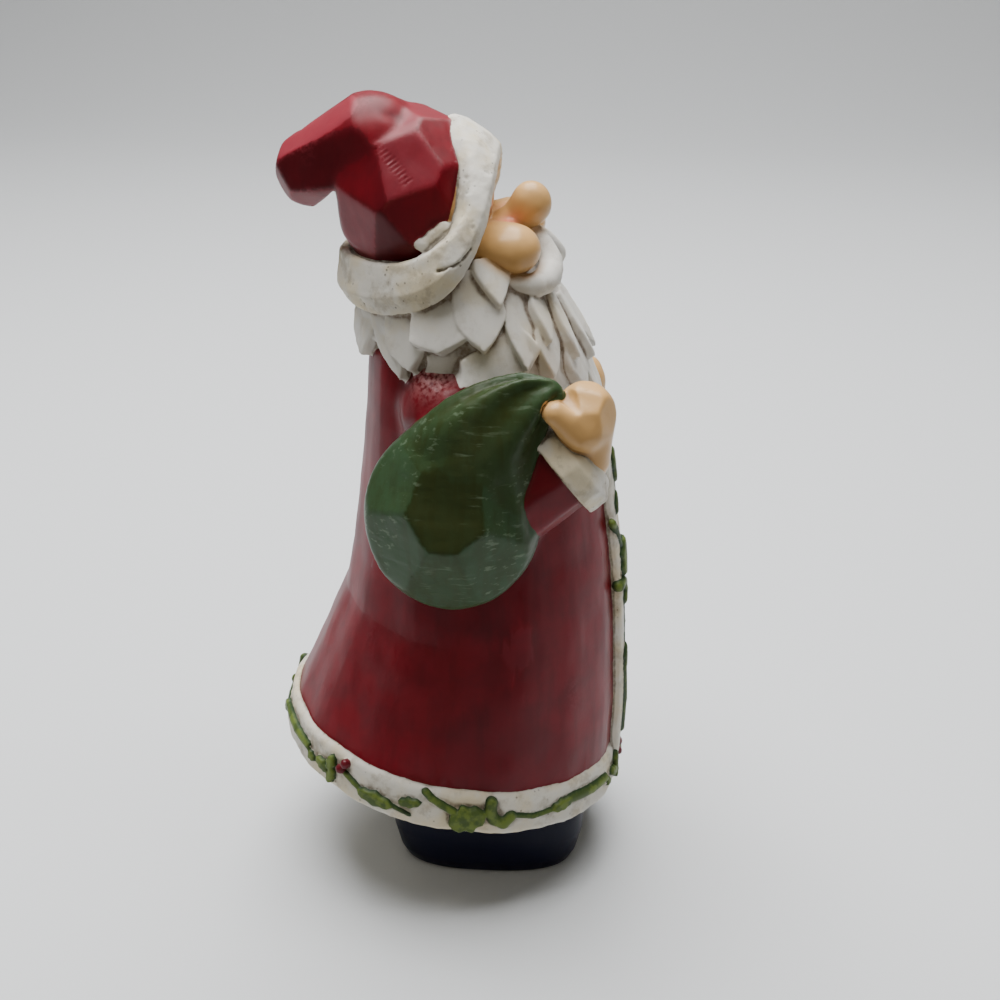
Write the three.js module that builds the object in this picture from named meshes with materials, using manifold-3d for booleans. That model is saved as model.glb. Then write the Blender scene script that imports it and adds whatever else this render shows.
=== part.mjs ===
// Santa figurine: one solid resin casting in a knife-carved style, standing on its two boots.
// A bearded man in a fur-trimmed coat and hat looks up, with a sack over his right arm.
//
// Millimetres and degrees. +Z is up, the figure faces -Y and its right side is -X.
// The origin is the middle of the underside, between the boots.
// A bearing goes round the figure: 0 is the front, 90 its left side, 180 its back.

import * as THREE from "three";
import { mergeVertices } from "three/addons/utils/BufferGeometryUtils.js";
import Module from "manifold-3d";

const wasm = await Module();
wasm.setup();

// Boots: rounded blocks that taper down to the sole, joined by a plain web under the coat
const BOOT = { halfLength: 19.3, halfWidth: 10.0, apart: 9.3, middleY: -0.9, squareness: 2.6 };
const BOOT_PROFILE = [[0, 0.85], [2.4, 0.92], [7, 0.98], [13, 1], [24, 0.94]];
const WEB = { width: 8, front: -10, back: 9, height: 23 };

// Coat: rings from the turned-in underside of the hem up to the neck
const COAT = [
  { z: 21.2, y: 6.9, w: 28.5, d: 29.2 },
  { z: 19.8, y: 6.9, w: 31.6, d: 32.2 },
  { z: 21.2, y: 6.9, w: 33.0, d: 33.6 },
  { z: 28.2, y: 6.4, w: 32.6, d: 32.8 },
  { z: 28.9, y: 6.0, w: 31.3, d: 31.6 },
  { z: 38.0, y: 4.0, w: 29.6, d: 30.0 },
  { z: 55.0, y: 1.0, w: 26.9, d: 26.4 },
  { z: 65.0, y: 0.5, w: 25.8, d: 25.1 },
  { z: 85.0, y: 0.7, w: 24.1, d: 22.5 },
  { z: 94.0, y: 1.9, w: 22.4, d: 20.4 },
  { z: 101.0, y: 3.1, w: 19.6, d: 18.8 },
  { z: 106.0, y: 3.6, w: 17.5, d: 17.8 },
  { z: 110.0, y: 4.4, w: 13.0, d: 14.5 },
];
const COAT_FACETS = 24;
const COAT_UNEVEN = 0.3;
const HEM = { low: 21.2, high: 28.2, tilt: 0.17, levelAt: 85 };
const FRONT_BAND = { halfWidth: 5.4, proud: 1.4, edge: 0.5, sunk: 3, low: 28.4, high: 99, steps: 8 };

// Vine on the hem and the front band: leaves, berries and stems in low relief
const VINE = {
  repeats: 3, start: -73.5, frontTop: 92, frontMiddle: 0.8, stemSunk: 0.25, berry: 1.1,
  berryProud: 0.1, leafSunk: 0.1,
};
// One repeat of the vine: places are millimetres along the band and up from its lower edge
const VINE_REPEAT = {
  berries: [[1.3, 4.6], [2.3, 6.2]],
  stems: [
    { radius: 0.6, points: [[2.6, 4.0], [4.6, 3.2], [6.4, 2.4]] },
    { radius: 0.45, points: [[12.6, 1.9], [16.2, 1.2]] },
    { radius: 0.75, points: [[19.0, 6.8], [22.0, 4.8], [24.4, 3.6]] },
    { radius: 1.1, points: [[31.4, 6.0], [31.9, 2.7], [33.8, 1.8], [35.3, 3.3]] },
    { radius: 0.5, points: [[36.2, 3.3], [40.0, 2.6], [44.2, 3.1]] },
    { radius: 1.0, points: [[48.6, 4.4], [55.1, 4.0], [61.0, 3.9]] },
  ],
  leaves: [
    { at: [-7.4, 2.5], turn: -20, length: 3.0, width: 1.9, thick: 0.8 },
    { at: [-3.6, 2.8], turn: -20, length: 4.0, width: 2.0, thick: 0.9 },
    { at: [-1.4, 4.4], turn: 84, length: 3.4, width: 2.0, thick: 0.9 },
    { at: [-1.1, 1.7], turn: 78, length: 3.6, width: 1.8, thick: 0.8 },
    { at: [9.4, 2.1], turn: -4, length: 7.6, width: 2.8, thick: 1.0 },
    { at: [16.2, 3.8], turn: 15, length: 4.6, width: 2.0, thick: 0.9 },
    { at: [27.0, 2.5], turn: 24, length: 7.4, width: 4.8, thick: 1.2 },
    { at: [46.4, 3.8], turn: 14, length: 5.0, width: 2.3, thick: 1.0 },
  ],
};

// Head, face and beard
const HEAD = { at: [0, 11, 124.5], radii: [12.4, 10.8, 11.0] };
const CHEEK = { at: [8.8, -5.2, 125.4], radii: [5.2, 5.0, 4.4] };
const TEMPLE = { at: [6.8, -1.4, 125.8], radii: [6.4, 5.2, 3.6] };
const NOSE = {
  at: [0, -8.0, 131.2], radii: [3.5, 3.6, 4.0], neck: 2.4, root: [0, -1.6, 124.6], rootRadius: 4.0,
};
const EYE = { at: [3.6, -4.2, 127.8], radius: 1.5 };
const MOUSTACHE = [
  { at: [0.6, -8.2, 126.6], r: 1.2 },
  { at: [1.6, -10.4, 124.2], r: 1.8 },
  { at: [4.8, -11.8, 120.8], r: 2.3 },
  { at: [9.6, -9.6, 119.4], r: 2.2 },
  { at: [12.8, -3.6, 121.0], r: 0.8 },
];
const BEARD = [
  { z: 94, y: -9.0, w: 6.0, d: 10.5 },
  { z: 98, y: -3.5, w: 12.0, d: 15.6 },
  { z: 103, y: 0.9, w: 17.6, d: 18.9 },
  { z: 107, y: 2.7, w: 19.4, d: 20.0 },
  { z: 112, y: 3.8, w: 19.5, d: 19.1 },
  { z: 117, y: 4.6, w: 18.0, d: 16.8 },
  { z: 122, y: 5.0, w: 15.0, d: 13.4 },
];
const BEARD_SLOPE = { most: 0.24, levelAt: 118 };
const BEARD_FACETS = 18;
const BEARD_UNEVEN = 0.2;

// Locks: pointed blades from a root to a tip, each a bearing and a height, mirrored to both sides.
// The shoulder is where a blade is widest, as a part of its length, and the curl bends its tip back.
const LOCKS = [
  { root: [168, 115], tip: [160, 104.5], width: 12.0, shoulder: 0.45, curl: 0.5 },
  { root: [147, 116], tip: [120.5, 104.8], width: 8.5, shoulder: 0.45, curl: -2.6 },
  { root: [124, 117.5], tip: [113.5, 106.4], width: 9.5, shoulder: 0.55, curl: -1.0 },
  { root: [99, 119.5], tip: [95.5, 110.4], width: 11.5, shoulder: 0.72, curl: -1.6 },
  { root: [75, 123], tip: [76, 110.4], width: 9.0, shoulder: 0.58, curl: -0.6 },
  { root: [60, 124.5], tip: [63, 117.4], width: 7.0, shoulder: 0.25, curl: 0.0 },
  { root: [46, 120.5], tip: [59, 106.2], width: 7.5, shoulder: 0.5, curl: -1.4 },
  { root: [28, 118], tip: [44, 110.2], width: 5.5, shoulder: 0.4, curl: 0.8 },
  { root: [33, 113], tip: [49, 103.8], width: 7.0, shoulder: 0.4, curl: 0.8 },
  { root: [73, 111.5], tip: [69, 103.2], width: 14.5, shoulder: 0.6, curl: 0.0 },
  { root: [97, 111], tip: [92, 101.0], width: 9.0, shoulder: 0.5, curl: 0.0 },
  { root: [14, 116], tip: [28, 105.6], width: 5.5, shoulder: 0.4, curl: 0.6 },
  { root: [1, 115], tip: [9, 103.5], width: 5.5, shoulder: 0.4, curl: 0.4 },
  { root: [18, 108], tip: [31, 99.0], width: 7.0, shoulder: 0.4, curl: 0.8 },
  { root: [4, 105], tip: [12, 94.0], width: 7.0, shoulder: 0.4, curl: 0.4 },
];
const LOCK = { below: 2.6, above: 1.0, rootSunk: 0.9, tipLift: 1.7, rootWidth: 0.8, midWidth: 0.65 };

// Hat: a fat dome whose end folds over the back like a blunt beak, inside a fur brim
const DOME = { at: [0, 13.0, 133.6], radii: [16.6, 14.2, 15.2] };
const HAT_TIP = { from: [0, 20.2, 139.8], fromRadius: 10.4, to: [0, 30.4, 136.8], toRadius: 6.9 };
const DOME_CUTS = [
  [-123, 22, 1.9], [-90, 34, 2.4], [-77, -3, 2.0], [-104, -22, 1.4], [-134, -14, 1.7], [-44, 48, 1.4],
  [-47, 13, 0.9], [-125, 64, 1.7], [-168, -6, 0.9], [64, 30, 2.2], [96, 4, 2.1], [133, 20, 1.9],
  [162, -8, 1.2], [104, 52, 1.8], [30, 58, 1.2], [0, 78, 1.3],
];
const TIP_FLATS = [[-32, 0.5], [-88, 1.5], [-140, 0.9], [24, 0.7], [78, 1.4], [136, 1.0]];
const TIP_END = [[180, 12, 0.5], [-150, -20, 0.8], [152, -12, 0.8], [0, -45, 2.1]];
const BRIM = {
  at: [0, 13.1, 130.4], halfWidth: 17.6, frontReach: 11.4, frontRise: 12.5,
  earForward: 7.0, earDrop: 6.1, lean: 18, height: 8.0, taller: 0.22, thick: 6.0, thicker: 0.15,
  ridge: -0.6, chamfer: 0.45, tuck: 0.22, frontTrim: 2.4, frontRidge: -1.2, frontBulge: 0.09,
};
const BRIM_FACETS = 24;

// Arms: [distance to the side, y, height] of each joint, with the right hand held up by the sack
const RIGHT_ARM = {
  side: -1,
  shoulder: [18.0, 5.2, 98.4], elbow: [21.5, -1.0, 80.0], wrist: [23.0, -14.2, 90.2],
  hand: [24.4, -18.7, 101.2],
};
const LEFT_ARM = {
  side: 1,
  shoulder: [18.0, 5.2, 97.4], elbow: [24.0, 1.0, 76.5], wrist: [22.2, -12.6, 81.6],
  hand: [20.6, -16.6, 90.2],
};
const SLEEVE = { shoulder: 8.6, elbow: 9.6, wrist: 8.0, sides: 8 };
const CUFF = {
  sides: 9, radius: 9.0, low: -0.3, ridge: 3.4, top: 6.0, topRadius: 6.4, inward: 0.36,
};
const HAND = { radii: [6.0, 5.1, 5.8], palm: 5.2, heel: [-0.4, -0.6, -8.0], heelRadius: 4.0 };
// The flats of a hand, for the left one: bearing, rise and bite
const HAND_CUTS = [[82, 2, 1.0], [80, 46, 0.9], [28, 8, 0.8], [40, 76, 0.5], [120, 30, 0.5]];
const THUMB = { root: [3.4, 0.6, -1.6], rootRadius: 3.0, tip: [4.6, 4.9, 1.9], tipRadius: 2.1 };
const CREASE = { from: [2.6, 3.6, 5.4], fromRadius: 2.0, to: [7.0, -0.4, 2.2], toRadius: 0.6 };

// Sack: a round bag and a gathered neck that narrows into the fist, both flattened outward
const SACK = { at: [-25.6, 4.2, 82.0], radii: [11.2, 15.4, 17.6], flatten: 0.6 };
const SACK_NECK = [
  { at: [-26.0, 0.8, 76.0], r: 9.0 },
  { at: [-26.4, 1.2, 86.0], r: 12.0 },
  { at: [-27.0, 1.0, 91.0], r: 12.2 },
  { at: [-27.4, -1.0, 95.8], r: 10.6 },
  { at: [-27.6, -4.4, 100.2], r: 7.9 },
  { at: [-27.0, -8.2, 103.6], r: 5.4 },
  { at: [-25.8, -12.0, 105.0], r: 3.4 },
];
// A fold that runs from the neck down the front of the sack
const SACK_FOLD = [
  { at: [-28.8, -6.8, 101.0], r: 0.8 },
  { at: [-30.0, -5.8, 97.1], r: 1.4 },
  { at: [-30.8, -6.2, 90.0], r: 1.5 },
  { at: [-30.6, -7.6, 84.0], r: 1.3 },
  { at: [-29.8, -8.6, 78.0], r: 0.5 },
];
const SACK_FACE = {
  rise: 15, bite: 2.0, rimCuts: 7, rimTurn: 20, rimUneven: 0.1, rimRise: 40, rimBite: 1.9,
};

// Edge of the box that stands for one knife stroke, larger than any form it cuts
const KNIFE = 80;

const degrees = THREE.MathUtils.degToRad;

// Turns a three.js geometry into a closed solid.
function solidOf(geometry) {
  const bare = geometry.clone();
  bare.deleteAttribute("normal");
  bare.deleteAttribute("uv");
  const merged = mergeVertices(bare, 1e-4);
  return new wasm.Manifold(new wasm.Mesh({
    numProp: 3,
    vertProperties: new Float32Array(merged.attributes.position.array),
    triVerts: new Uint32Array(merged.index.array),
  }));
}

function join(solids) {
  return solids.reduce((whole, next) => whole.add(next));
}

// Moves every vertex of a geometry by a function of its position.
function reshape(geometry, move) {
  const position = geometry.attributes.position;
  const point = new THREE.Vector3();
  for (let i = 0; i < position.count; i += 1) {
    point.fromBufferAttribute(position, i);
    const moved = move(point);
    position.setXYZ(i, moved.x, moved.y, moved.z);
  }
  return geometry;
}

function directionOf(bearing, rise) {
  const level = Math.cos(degrees(rise));
  return new THREE.Vector3(
    Math.sin(degrees(bearing)) * level, -Math.cos(degrees(bearing)) * level, Math.sin(degrees(rise)));
}

function sideways(at, side) {
  return new THREE.Vector3(at[0] * side, at[1], at[2]);
}

// The ring at a height, between the two stated rings around it.
function ringAt(rings, height) {
  let upper = rings.findIndex((ring) => ring.z >= height);
  upper = upper < 0 ? rings.length - 1 : Math.max(upper, 1);
  const [low, high] = [rings[upper - 1], rings[upper]];
  const part = THREE.MathUtils.clamp((height - low.z) / (high.z - low.z), 0, 1);
  const mix = (key) => THREE.MathUtils.lerp(low[key], high[key], part);
  return { z: height, y: mix("y"), w: mix("w"), d: mix("d") };
}

// A closed loft through level rings. Each corner of a ring is shifted a little, so that the flats
// between the corners differ in width, as carved ones do.
function loft(rings, facets, uneven, tiltAt) {
  const rows = rings.length - 1;
  const step = (2 * Math.PI) / facets;
  const geometry = new THREE.CylinderGeometry(1, 1, 1, facets, rows);
  reshape(geometry, (point) => {
    const ring = rings[Math.round((point.y + 0.5) * rows)];
    const out = Math.hypot(point.x, point.z);
    const corner = (Math.round(Math.atan2(point.x, point.z) / step) + facets) % facets;
    const angle = step * (corner + uneven * Math.sin(2.4 * corner));
    const away = -ring.d * out * Math.cos(angle);
    return new THREE.Vector3(
      ring.w * out * Math.sin(angle), ring.y + away, ring.z + tiltAt(ring.z) * away);
  });
  return solidOf(geometry);
}

// The hem is higher at the back than at the front, and the coat is level from the chest up.
function coatTilt(height) {
  const part = (HEM.levelAt - height) / (HEM.levelAt - HEM.high);
  return HEM.tilt * THREE.MathUtils.clamp(part, 0, 1);
}

const COAT_SIDE = COAT.slice(2);

// A point on the coat's outside at a bearing and a height, lifted off it by a distance.
function onCoat(bearing, height, lift) {
  const ring = ringAt(COAT_SIDE, height);
  const flat = new THREE.Vector3(Math.sin(degrees(bearing)), -Math.cos(degrees(bearing)), 0);
  const away = flat.y * ring.d;
  return new THREE.Vector3(
    flat.x * (ring.w + lift), ring.y + away + flat.y * lift, height + coatTilt(height) * away);
}

function coat() {
  return loft(COAT, COAT_FACETS, COAT_UNEVEN, coatTilt);
}

// The raised fur band down the front closing of the coat.
function frontBand() {
  const { halfWidth, proud, edge, sunk, low, high, steps } = FRONT_BAND;
  const geometry = new THREE.BoxGeometry(1, 1, 1, 3, 1, steps);
  reshape(geometry, (point) => {
    const height = THREE.MathUtils.lerp(low, high, point.z + 0.5);
    const front = Math.abs(point.x) === 0.5 ? proud - edge : proud;
    const lift = point.y < 0 ? front : -sunk;
    const bearing = (point.x * 2 * halfWidth) / ringAt(COAT_SIDE, height).w;
    return onCoat(THREE.MathUtils.radToDeg(Math.asin(bearing)), height, lift);
  });
  return solidOf(geometry);
}

function boot(side) {
  const rows = BOOT_PROFILE.length - 1;
  const geometry = new THREE.CylinderGeometry(1, 1, 1, 14, rows);
  const round = (value) => Math.sign(value) * Math.abs(value) ** (2 / BOOT.squareness);
  reshape(geometry, (point) => {
    const [height, size] = BOOT_PROFILE[Math.round((point.y + 0.5) * rows)];
    return new THREE.Vector3(
      side * BOOT.apart + BOOT.halfWidth * size * round(point.x),
      BOOT.middleY - BOOT.halfLength * size * round(point.z), height);
  });
  return solidOf(geometry);
}

function bootWeb() {
  const geometry = new THREE.BoxGeometry(WEB.width, WEB.back - WEB.front, WEB.height);
  geometry.translate(0, (WEB.back + WEB.front) / 2, WEB.height / 2);
  return solidOf(geometry);
}

function ellipsoid(at, radii, around = 14, up = 9) {
  const geometry = new THREE.SphereGeometry(1, around, up);
  geometry.rotateX(Math.PI / 2);
  geometry.scale(...radii);
  geometry.translate(...at);
  return solidOf(geometry);
}

// Everything beyond a plane that faces out, at a distance from a point: what one knife stroke removes.
function beyond(at, out, reach) {
  const knife = new THREE.BoxGeometry(KNIFE, KNIFE, KNIFE);
  knife.translate(0, 0, KNIFE / 2 + reach);
  knife.applyQuaternion(new THREE.Quaternion().setFromUnitVectors(new THREE.Vector3(0, 0, 1), out));
  knife.translate(at.x, at.y, at.z);
  return solidOf(knife);
}

// Takes flats off a rounded form, each named by its bearing, its rise and how deep the knife bites.
function carve(solid, at, radii, cuts) {
  return cuts.reduce((left, [bearing, rise, bite]) => {
    const out = directionOf(bearing, rise);
    const reach = Math.hypot(out.x * radii[0], out.y * radii[1], out.z * radii[2]) - bite;
    return left.subtract(beyond(sideways(at, 1), out, reach));
  }, solid);
}

// A tapered bar with round ends between two points.
function limb(from, fromRadius, to, toRadius, sides = 9) {
  const along = new THREE.Vector3().subVectors(to, from);
  const length = along.length();
  const slope = (fromRadius - toRadius) / length;
  const level = Math.sqrt(Math.max(0, 1 - slope * slope));
  const lean = Math.atan2(slope, level);
  const profile = [];
  const arcSteps = 2;
  for (let i = 0; i <= arcSteps; i += 1) {
    const angle = -Math.PI / 2 + ((lean + Math.PI / 2) * i) / arcSteps;
    profile.push(new THREE.Vector2(fromRadius * Math.cos(angle), fromRadius * Math.sin(angle)));
  }
  for (let i = 0; i <= arcSteps; i += 1) {
    const angle = lean + ((Math.PI / 2 - lean) * i) / arcSteps;
    profile.push(new THREE.Vector2(toRadius * Math.cos(angle), length + toRadius * Math.sin(angle)));
  }
  profile[0].x = 0;
  profile[profile.length - 1].x = 0;
  const geometry = new THREE.LatheGeometry(profile, sides);
  geometry.applyQuaternion(
    new THREE.Quaternion().setFromUnitVectors(new THREE.Vector3(0, 1, 0), along.normalize()));
  geometry.translate(from.x, from.y, from.z);
  return solidOf(geometry);
}

// Takes flats off a tapered bar. Each is named by its turn round the bar, from the top, and its bite.
function carveLimb(solid, from, fromRadius, to, toRadius, flats) {
  const along = new THREE.Vector3().subVectors(to, from);
  const slope = (fromRadius - toRadius) / along.length();
  along.normalize();
  const across = new THREE.Vector3().crossVectors(along, new THREE.Vector3(0, 0, 1)).normalize();
  const top = new THREE.Vector3().crossVectors(across, along);
  return flats.reduce((left, [turn, bite]) => {
    const out = top.clone().multiplyScalar(Math.cos(degrees(turn)))
      .addScaledVector(across, -Math.sin(degrees(turn))).multiplyScalar(Math.sqrt(1 - slope * slope))
      .addScaledVector(along, slope);
    return left.subtract(beyond(to, out, toRadius - bite));
  }, solid);
}

// A round bar through a row of stations, each a point and a radius, closed flat at both ends.
// The reference direction keeps its sections from twisting.
function horn(stations, side, sides, reference) {
  const rows = stations.length - 1;
  const points = stations.map(({ at }) => sideways(at, side));
  const geometry = new THREE.CylinderGeometry(1, 1, 1, sides, rows);
  return solidOf(reshape(geometry, (point) => {
    const row = Math.round((point.y + 0.5) * rows);
    const along = new THREE.Vector3()
      .subVectors(points[Math.min(row + 1, rows)], points[Math.max(row - 1, 0)]).normalize();
    const across = reference.clone().addScaledVector(along, -reference.dot(along)).normalize();
    const third = new THREE.Vector3().crossVectors(across, along);
    return points[row].clone()
      .addScaledVector(across, point.x * stations[row].r)
      .addScaledVector(third, point.z * stations[row].r);
  }));
}

function face() {
  const parts = [ellipsoid(HEAD.at, HEAD.radii, 8, 4), ellipsoid(NOSE.at, NOSE.radii, 8, 6)];
  parts.push(limb(sideways(NOSE.root, 1), NOSE.rootRadius, sideways(NOSE.at, 1), NOSE.neck, 7));
  for (const side of [-1, 1]) {
    parts.push(ellipsoid(sideways(CHEEK.at, side).toArray(), CHEEK.radii, 8, 6));
    parts.push(ellipsoid(sideways(TEMPLE.at, side).toArray(), TEMPLE.radii, 6, 4));
    const radii = [EYE.radius, EYE.radius, EYE.radius];
    parts.push(ellipsoid(sideways(EYE.at, side).toArray(), radii, 6, 3));
    parts.push(horn(MOUSTACHE, side, 6, new THREE.Vector3(0, 1, 0)));
  }
  return join(parts);
}

// The lower edge of the beard is higher at the nape than on the chest.
function beardTilt(height) {
  const part = (BEARD_SLOPE.levelAt - height) / (BEARD_SLOPE.levelAt - BEARD[0].z);
  return BEARD_SLOPE.most * THREE.MathUtils.clamp(part, 0, 1);
}

function onBeard([bearing, height], lift) {
  const ring = ringAt(BEARD, height);
  const [east, north] = [Math.sin(degrees(bearing)), -Math.cos(degrees(bearing))];
  return new THREE.Vector3(east * (ring.w + lift), ring.y + north * (ring.d + lift), height);
}

// One lock: a curved flat blade that narrows from its shoulder to its tip, raised more at the tip.
function lock({ root, tip, width, shoulder, curl }, side) {
  const start = onBeard([root[0] * side, root[1]], -LOCK.rootSunk);
  const end = onBeard([tip[0] * side, tip[1]], LOCK.tipLift);
  const along = new THREE.Vector3().subVectors(end, start);
  const length = along.length();
  along.normalize();
  const out = directionOf((side * (root[0] + tip[0])) / 2, 0);
  const across = new THREE.Vector3().crossVectors(along, out).normalize();
  out.crossVectors(across, along).normalize();
  const middleAt = (part) => -side * curl * (0.5 - part * part);
  const corners = [[0, LOCK.rootWidth], [shoulder, 1], [(1 + shoulder) / 2, LOCK.midWidth]];
  const edge = (way) => corners.map(([part, size]) => new THREE.Vector2(
    middleAt(part) + (way * size * width) / 2, part * length));
  const point = new THREE.Vector2(middleAt(1), length);
  const outline = new THREE.Shape([...edge(1), point, ...edge(-1).reverse()]);
  const thick = LOCK.below + LOCK.above;
  const geometry = new THREE.ExtrudeGeometry(outline, { depth: thick, bevelEnabled: false });
  geometry.translate(0, 0, -LOCK.below);
  geometry.applyMatrix4(new THREE.Matrix4().makeBasis(across, along, out));
  geometry.translate(start.x, start.y, start.z);
  return solidOf(geometry);
}

function beard() {
  const parts = [loft(BEARD, BEARD_FACETS, BEARD_UNEVEN, beardTilt)];
  for (const side of [-1, 1]) {
    for (const each of LOCKS) parts.push(lock(each, side));
  }
  return join(parts);
}

function hat() {
  const dome = carve(ellipsoid(DOME.at, DOME.radii, 14, 9), DOME.at, DOME.radii, DOME_CUTS);
  const { from, fromRadius, to, toRadius } = HAT_TIP;
  const [start, end] = [sideways(from, 1), sideways(to, 1)];
  const bar = limb(start, fromRadius, end, toRadius, 10);
  const tip = carveLimb(bar, start, fromRadius, end, toRadius, TIP_FLATS);
  return dome.add(carve(tip, to, [toRadius, toRadius, toRadius], TIP_END));
}

// The fur brim: a ring that rises to the forehead and dips over the ears like a hood. Its outside
// has a ridge, a sloping face above it and a steep one below.
function brim() {
  const tube = 0.25;
  const geometry = new THREE.TorusGeometry(1, tube, 7, BRIM_FACETS);
  reshape(geometry, (point) => {
    const angle = Math.atan2(point.x, -point.y);
    const [east, north] = [Math.sin(angle), -Math.cos(angle)];
    const [ahead, behind] = [Math.max(0, -north), Math.max(0, north)];
    const halfThick = (BRIM.thick / 2) * (1 - BRIM.thicker * north);
    const low = -BRIM.height / 2;
    const trim = BRIM.frontTrim * Math.min(2 * ahead, 1) * Math.abs(east);
    const top = -low * (1 + 2 * BRIM.taller * behind) - trim;
    const up = THREE.MathUtils.lerp(low, top, (point.z / tube + 1) / 2);
    const over = up - BRIM.ridge - BRIM.frontRidge * ahead ** 2;
    const slope = over > 0 ? BRIM.chamfer + BRIM.frontBulge * ahead ** 2 * over : -BRIM.tuck;
    const face = Math.max(halfThick - slope * over, -halfThick / 2);
    const out = Math.min(((Math.hypot(point.x, point.y) - 1) / tube) * halfThick * 1.15, face);
    const ear = east ** 2;
    const lean = degrees(BRIM.lean);
    return new THREE.Vector3(
      BRIM.at[0] + east * (BRIM.halfWidth + out),
      BRIM.at[1] + north * (BRIM.frontReach + out) - BRIM.earForward * ear + up * Math.sin(lean),
      BRIM.at[2] - north * BRIM.frontRise - BRIM.earDrop * ear + up * Math.cos(lean));
  });
  return solidOf(geometry);
}

// The fur cuff, turned a little inward: a band with a ridge, that slopes in to the hand above it.
function cuff(wrist, forward, side) {
  const { sides, radius, low, ridge, top, topRadius, inward } = CUFF;
  const axis = forward.clone().setX(forward.x - side * inward).normalize();
  const across = new THREE.Vector3().crossVectors(axis, new THREE.Vector3(0, 0, 1)).normalize();
  const third = new THREE.Vector3().crossVectors(across, axis);
  const rows = [{ up: low, size: radius }, { up: ridge, size: radius }, { up: top, size: topRadius }];
  const geometry = new THREE.CylinderGeometry(1, 1, 1, sides, rows.length - 1);
  geometry.rotateY(Math.PI / 2 - Math.PI / sides);
  return solidOf(reshape(geometry, (point) => {
    const { up, size } = rows[Math.round((point.y + 0.5) * (rows.length - 1))];
    const corner = size / Math.cos(Math.PI / sides);
    return wrist.clone().addScaledVector(axis, up)
      .addScaledVector(across, point.x * corner).addScaledVector(third, point.z * corner);
  }));
}

// A fist with carved flats, a thumb across it and the crease beside the thumb.
function fist(hand, side) {
  const place = (at) => hand.clone().add(sideways(at, side));
  const bar = (from, fromRadius, to, toRadius, sides) => limb(
    place(from), fromRadius, place(to), toRadius, sides);
  const heel = bar([0, 0, 0], HAND.palm, HAND.heel, HAND.heelRadius, 7);
  const block = ellipsoid(hand.toArray(), HAND.radii, 8, 5).add(heel);
  const cuts = HAND_CUTS.map(([bearing, rise, bite]) => [bearing * side, rise, bite]);
  return carve(block, hand.toArray(), HAND.radii, cuts)
    .add(bar(THUMB.root, THUMB.rootRadius, THUMB.tip, THUMB.tipRadius, 6))
    .subtract(bar(CREASE.from, CREASE.fromRadius, CREASE.to, CREASE.toRadius, 5));
}

function arm({ side, shoulder, elbow, wrist, hand }) {
  const [s, e, w, h] = [shoulder, elbow, wrist, hand].map((at) => sideways(at, side));
  const forward = new THREE.Vector3().subVectors(w, e).normalize();
  return join([
    limb(s, SLEEVE.shoulder, e, SLEEVE.elbow, SLEEVE.sides),
    limb(e, SLEEVE.elbow, w, SLEEVE.wrist, SLEEVE.sides),
    cuff(w, forward, side),
    fist(h, side),
  ]);
}

// The bag has one broad flat outward and a ring of smaller flats round it.
function sack() {
  const cuts = [[-90, SACK_FACE.rise, SACK_FACE.bite]];
  const rise = degrees(SACK_FACE.rimRise);
  const tilt = new THREE.Matrix4().makeRotationY(degrees(SACK_FACE.rise));
  for (let i = 0; i < SACK_FACE.rimCuts; i += 1) {
    const step = i + SACK_FACE.rimUneven * Math.sin(2.1 * i);
    const turn = degrees(SACK_FACE.rimTurn + (360 / SACK_FACE.rimCuts) * step);
    const out = new THREE.Vector3(
      -Math.cos(rise), Math.sin(rise) * Math.cos(turn), Math.sin(rise) * Math.sin(turn),
    ).applyMatrix4(tilt);
    const bearing = THREE.MathUtils.radToDeg(Math.atan2(out.x, -out.y));
    cuts.push([bearing, THREE.MathUtils.radToDeg(Math.asin(out.z)), SACK_FACE.rimBite]);
  }
  const bag = carve(ellipsoid(SACK.at, SACK.radii, 14, 8), SACK.at, SACK.radii, cuts);
  const flatten = new THREE.Matrix4().makeTranslation(...SACK.at)
    .multiply(new THREE.Matrix4().makeScale(SACK.flatten, 1, 1))
    .multiply(new THREE.Matrix4().makeTranslation(...SACK.at.map((value) => -value)));
  const outward = new THREE.Vector3(1, 0, 0);
  const neck = horn(SACK_NECK, 1, 9, outward).transform(flatten.toArray());
  return bag.add(neck).add(horn(SACK_FOLD, 1, 5, outward));
}

// A stem: a thin ridged bar half sunk in the band, through points given by a place function.
function stem({ radius, points }, place) {
  const route = new THREE.CatmullRomCurve3(points.map(([along, up]) => place(along, up, -VINE.stemSunk)));
  const section = new THREE.Shape([0, 1, 2, 3].map((corner) => new THREE.Vector2(
    radius * Math.cos((corner * Math.PI) / 2), radius * Math.sin((corner * Math.PI) / 2))));
  return solidOf(new THREE.ExtrudeGeometry(
    section, { steps: points.length, extrudePath: route, bevelEnabled: false }));
}

// A leaf: a low four-sided point with a raised middle rib.
function leaf({ at: [along, up], turn, length, width, thick }, place) {
  const middle = place(along, up, -VINE.leafSunk);
  const step = 0.5;
  const right = place(along + step, up, -VINE.leafSunk).sub(middle).normalize();
  const rise = place(along, up + step, -VINE.leafSunk).sub(middle).normalize();
  const out = new THREE.Vector3().crossVectors(right, rise).normalize();
  const tip = right.clone().multiplyScalar(Math.cos(degrees(turn)))
    .addScaledVector(rise, Math.sin(degrees(turn)));
  const across = new THREE.Vector3().crossVectors(out, tip);
  const geometry = new THREE.OctahedronGeometry(1);
  geometry.scale(length / 2, width / 2, thick);
  geometry.applyMatrix4(new THREE.Matrix4().makeBasis(tip, across, out));
  geometry.translate(middle.x, middle.y, middle.z);
  return solidOf(geometry);
}

function berry([along, up], place) {
  const geometry = new THREE.OctahedronGeometry(VINE.berry, 0);
  const middle = place(along, up, VINE.berryProud);
  geometry.translate(middle.x, middle.y, middle.z);
  return solidOf(geometry);
}

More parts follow.
